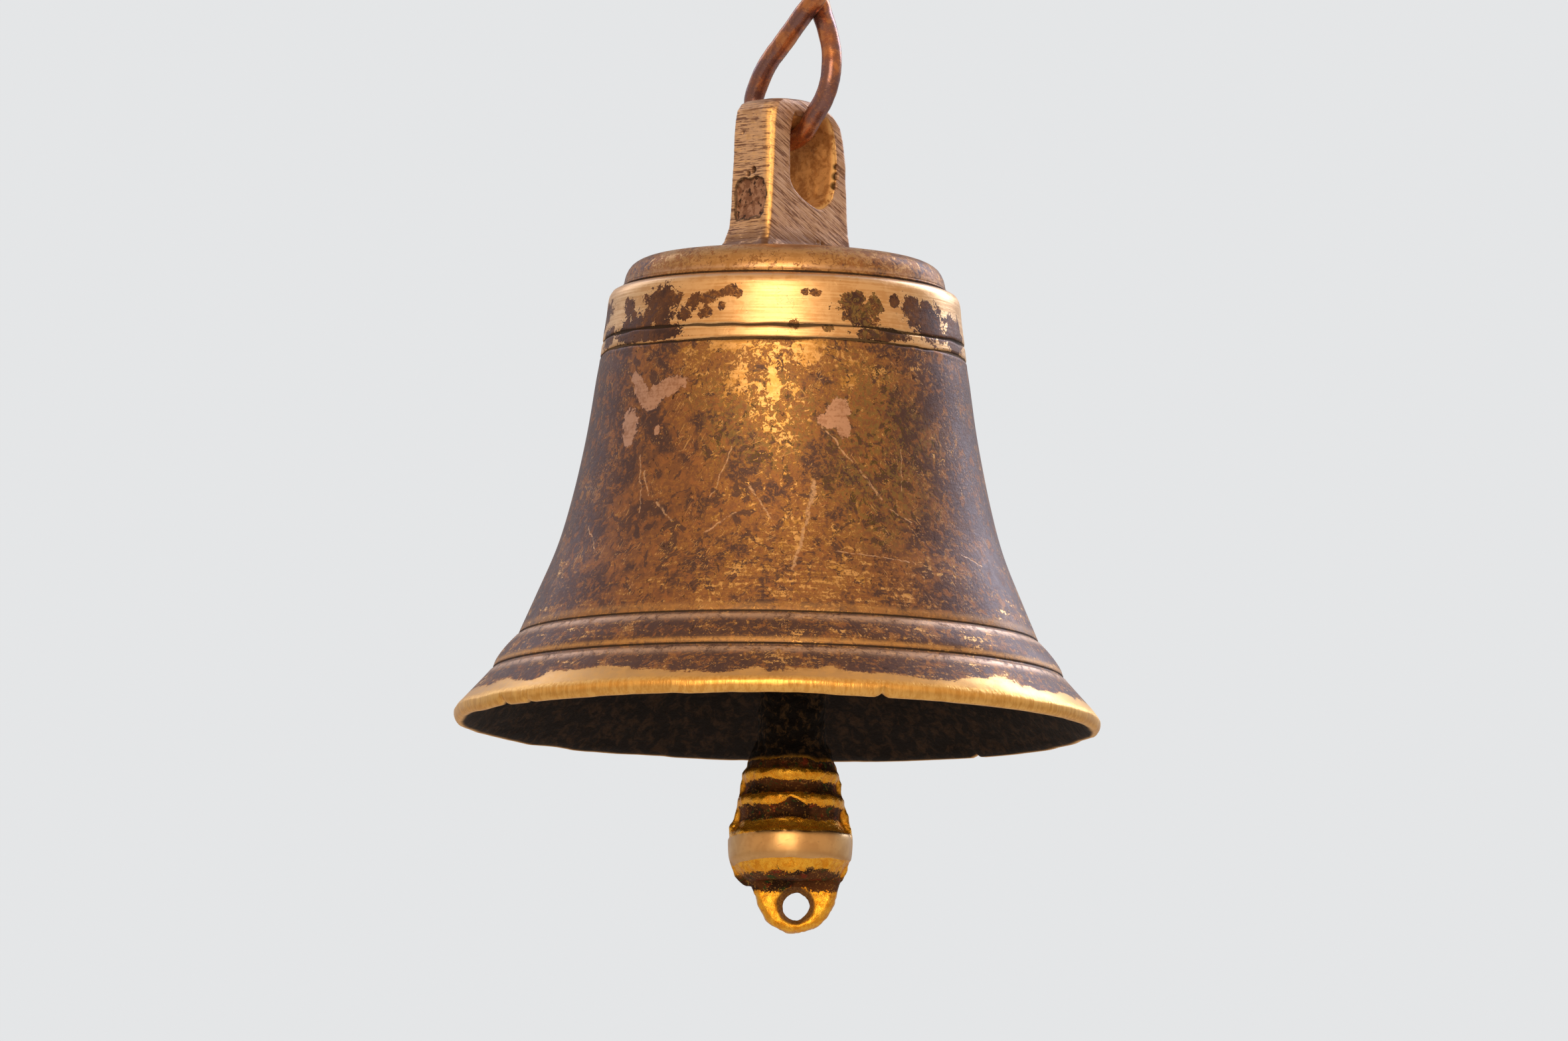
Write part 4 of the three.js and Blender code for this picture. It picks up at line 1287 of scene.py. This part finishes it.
def make_floor():
    floor = mesh_object("floor", np.zeros((0, 3)), [])
    corners = [(x * FLOOR_REACH, y * FLOOR_REACH, FLOOR_Z) for x, y in SQUARE]
    floor.data.from_pydata(corners, [], [(0, 1, 2, 3)])
    n = Nodes("pale_floor")
    tone = n.blend(n.edge(n.noise(400, 3), -0.2, 0.2), *FLOOR_GREYS)
    floor.data.materials.append(n.finish(tone, 0.0, 0.8, n.noise(3, 3), 0.2))


def area_light(name, direction, distance, size, power, colour):
    """A soft light at a distance from the bell, facing it. direction is (right, near, up)."""
    right, near, up = direction
    away = Vector(RIGHT * right + NEAR * near + UP * up).normalized()
    middle = Vector((0, 0, LIP_Z + LIT_HEIGHT * MM))
    data = bpy.data.lights.new(name, "AREA")
    data.shape = "RECTANGLE"
    data.size, data.size_y = size
    data.energy = power
    data.color = colour
    light = bpy.data.objects.new(name, data)
    light.location = middle + away * distance
    light.rotation_euler = away.to_track_quat("Z", "Y").to_euler()
    bpy.context.collection.objects.link(light)


def world_shade(nodes, links, direction):
    """The colour of the world in a direction."""
    shade = None
    for axis, low, high, dark, light in (
        (NEAR, -0.7, 0.6, BEHIND_GLOW, FRONT_GLOW),
        (UP, -0.75, 0.1, GROUND_GLOW, None),
    ):
        facing = nodes.new("ShaderNodeVectorMath")
        facing.operation = "DOT_PRODUCT"
        facing.inputs[1].default_value = tuple(axis)
        links.new(direction, facing.inputs[0])
        part = nodes.new("ShaderNodeMapRange")
        part.interpolation_type = "SMOOTHSTEP"
        part.inputs["From Min"].default_value = low
        part.inputs["From Max"].default_value = high
        links.new(facing.outputs["Value"], part.inputs["Value"])
        blend = nodes.new("ShaderNodeMix")
        blend.data_type = "RGBA"
        links.new(part.outputs["Result"], blend.inputs[0])
        blend.inputs[6].default_value = dark
        if shade is None:
            blend.inputs[7].default_value = light
        else:
            links.new(shade, blend.inputs[7])
        shade = blend.outputs[2]
    return shade


def make_world():
    """Plain pale behind the bell; what lights it is warmer in front, cooler behind, dim below."""
    world = bpy.data.worlds.new("studio")
    bpy.context.scene.world = world
    world.use_nodes = True
    nodes, links = world.node_tree.nodes, world.node_tree.links
    nodes.clear()
    seen = nodes.new("ShaderNodeBackground")
    seen.inputs["Color"].default_value = BACKDROP
    lit = nodes.new("ShaderNodeBackground")
    lit.inputs["Strength"].default_value = 0.72
    direction = nodes.new("ShaderNodeTexCoord").outputs["Generated"]
    links.new(world_shade(nodes, links, direction), lit.inputs["Color"])
    path = nodes.new("ShaderNodeLightPath")
    mix = nodes.new("ShaderNodeMixShader")
    out = nodes.new("ShaderNodeOutputWorld")
    links.new(path.outputs["Is Camera Ray"], mix.inputs[0])
    links.new(lit.outputs[0], mix.inputs[1])
    links.new(seen.outputs[0], mix.inputs[2])
    links.new(mix.outputs[0], out.inputs[0])


def make_camera():
    data = bpy.data.cameras.new("camera")
    data.sensor_width = 36
    data.lens = 36 * CAMERA_DISTANCE / FRAME_WIDTH
    data.clip_start = 0.1
    camera = bpy.data.objects.new("camera", data)
    bpy.context.collection.objects.link(camera)
    bpy.context.scene.camera = camera
    aim = Vector(RIGHT * AIM[0] * MM + UP * (LIP_Z + AIM[1] * MM))
    away = Vector(NEAR * math.cos(CAMERA_ELEVATION) + UP * math.sin(CAMERA_ELEVATION))
    turn = away.to_track_quat("Z", "Y").to_matrix() @ Matrix.Rotation(CAMERA_ROLL, 3, "Z")
    camera.location = aim + away * CAMERA_DISTANCE
    camera.rotation_euler = turn.to_euler()


# ---- everything ---------------------------------------------------------------------------

make_camera()
make_world()
for light in LIGHTS:
    area_light(*light)
make_floor()
make_bell()
make_lug()
make_hook()
make_staple()
make_link()
make_clapper()

scene = bpy.context.scene
scene.view_settings.view_transform = "Standard"
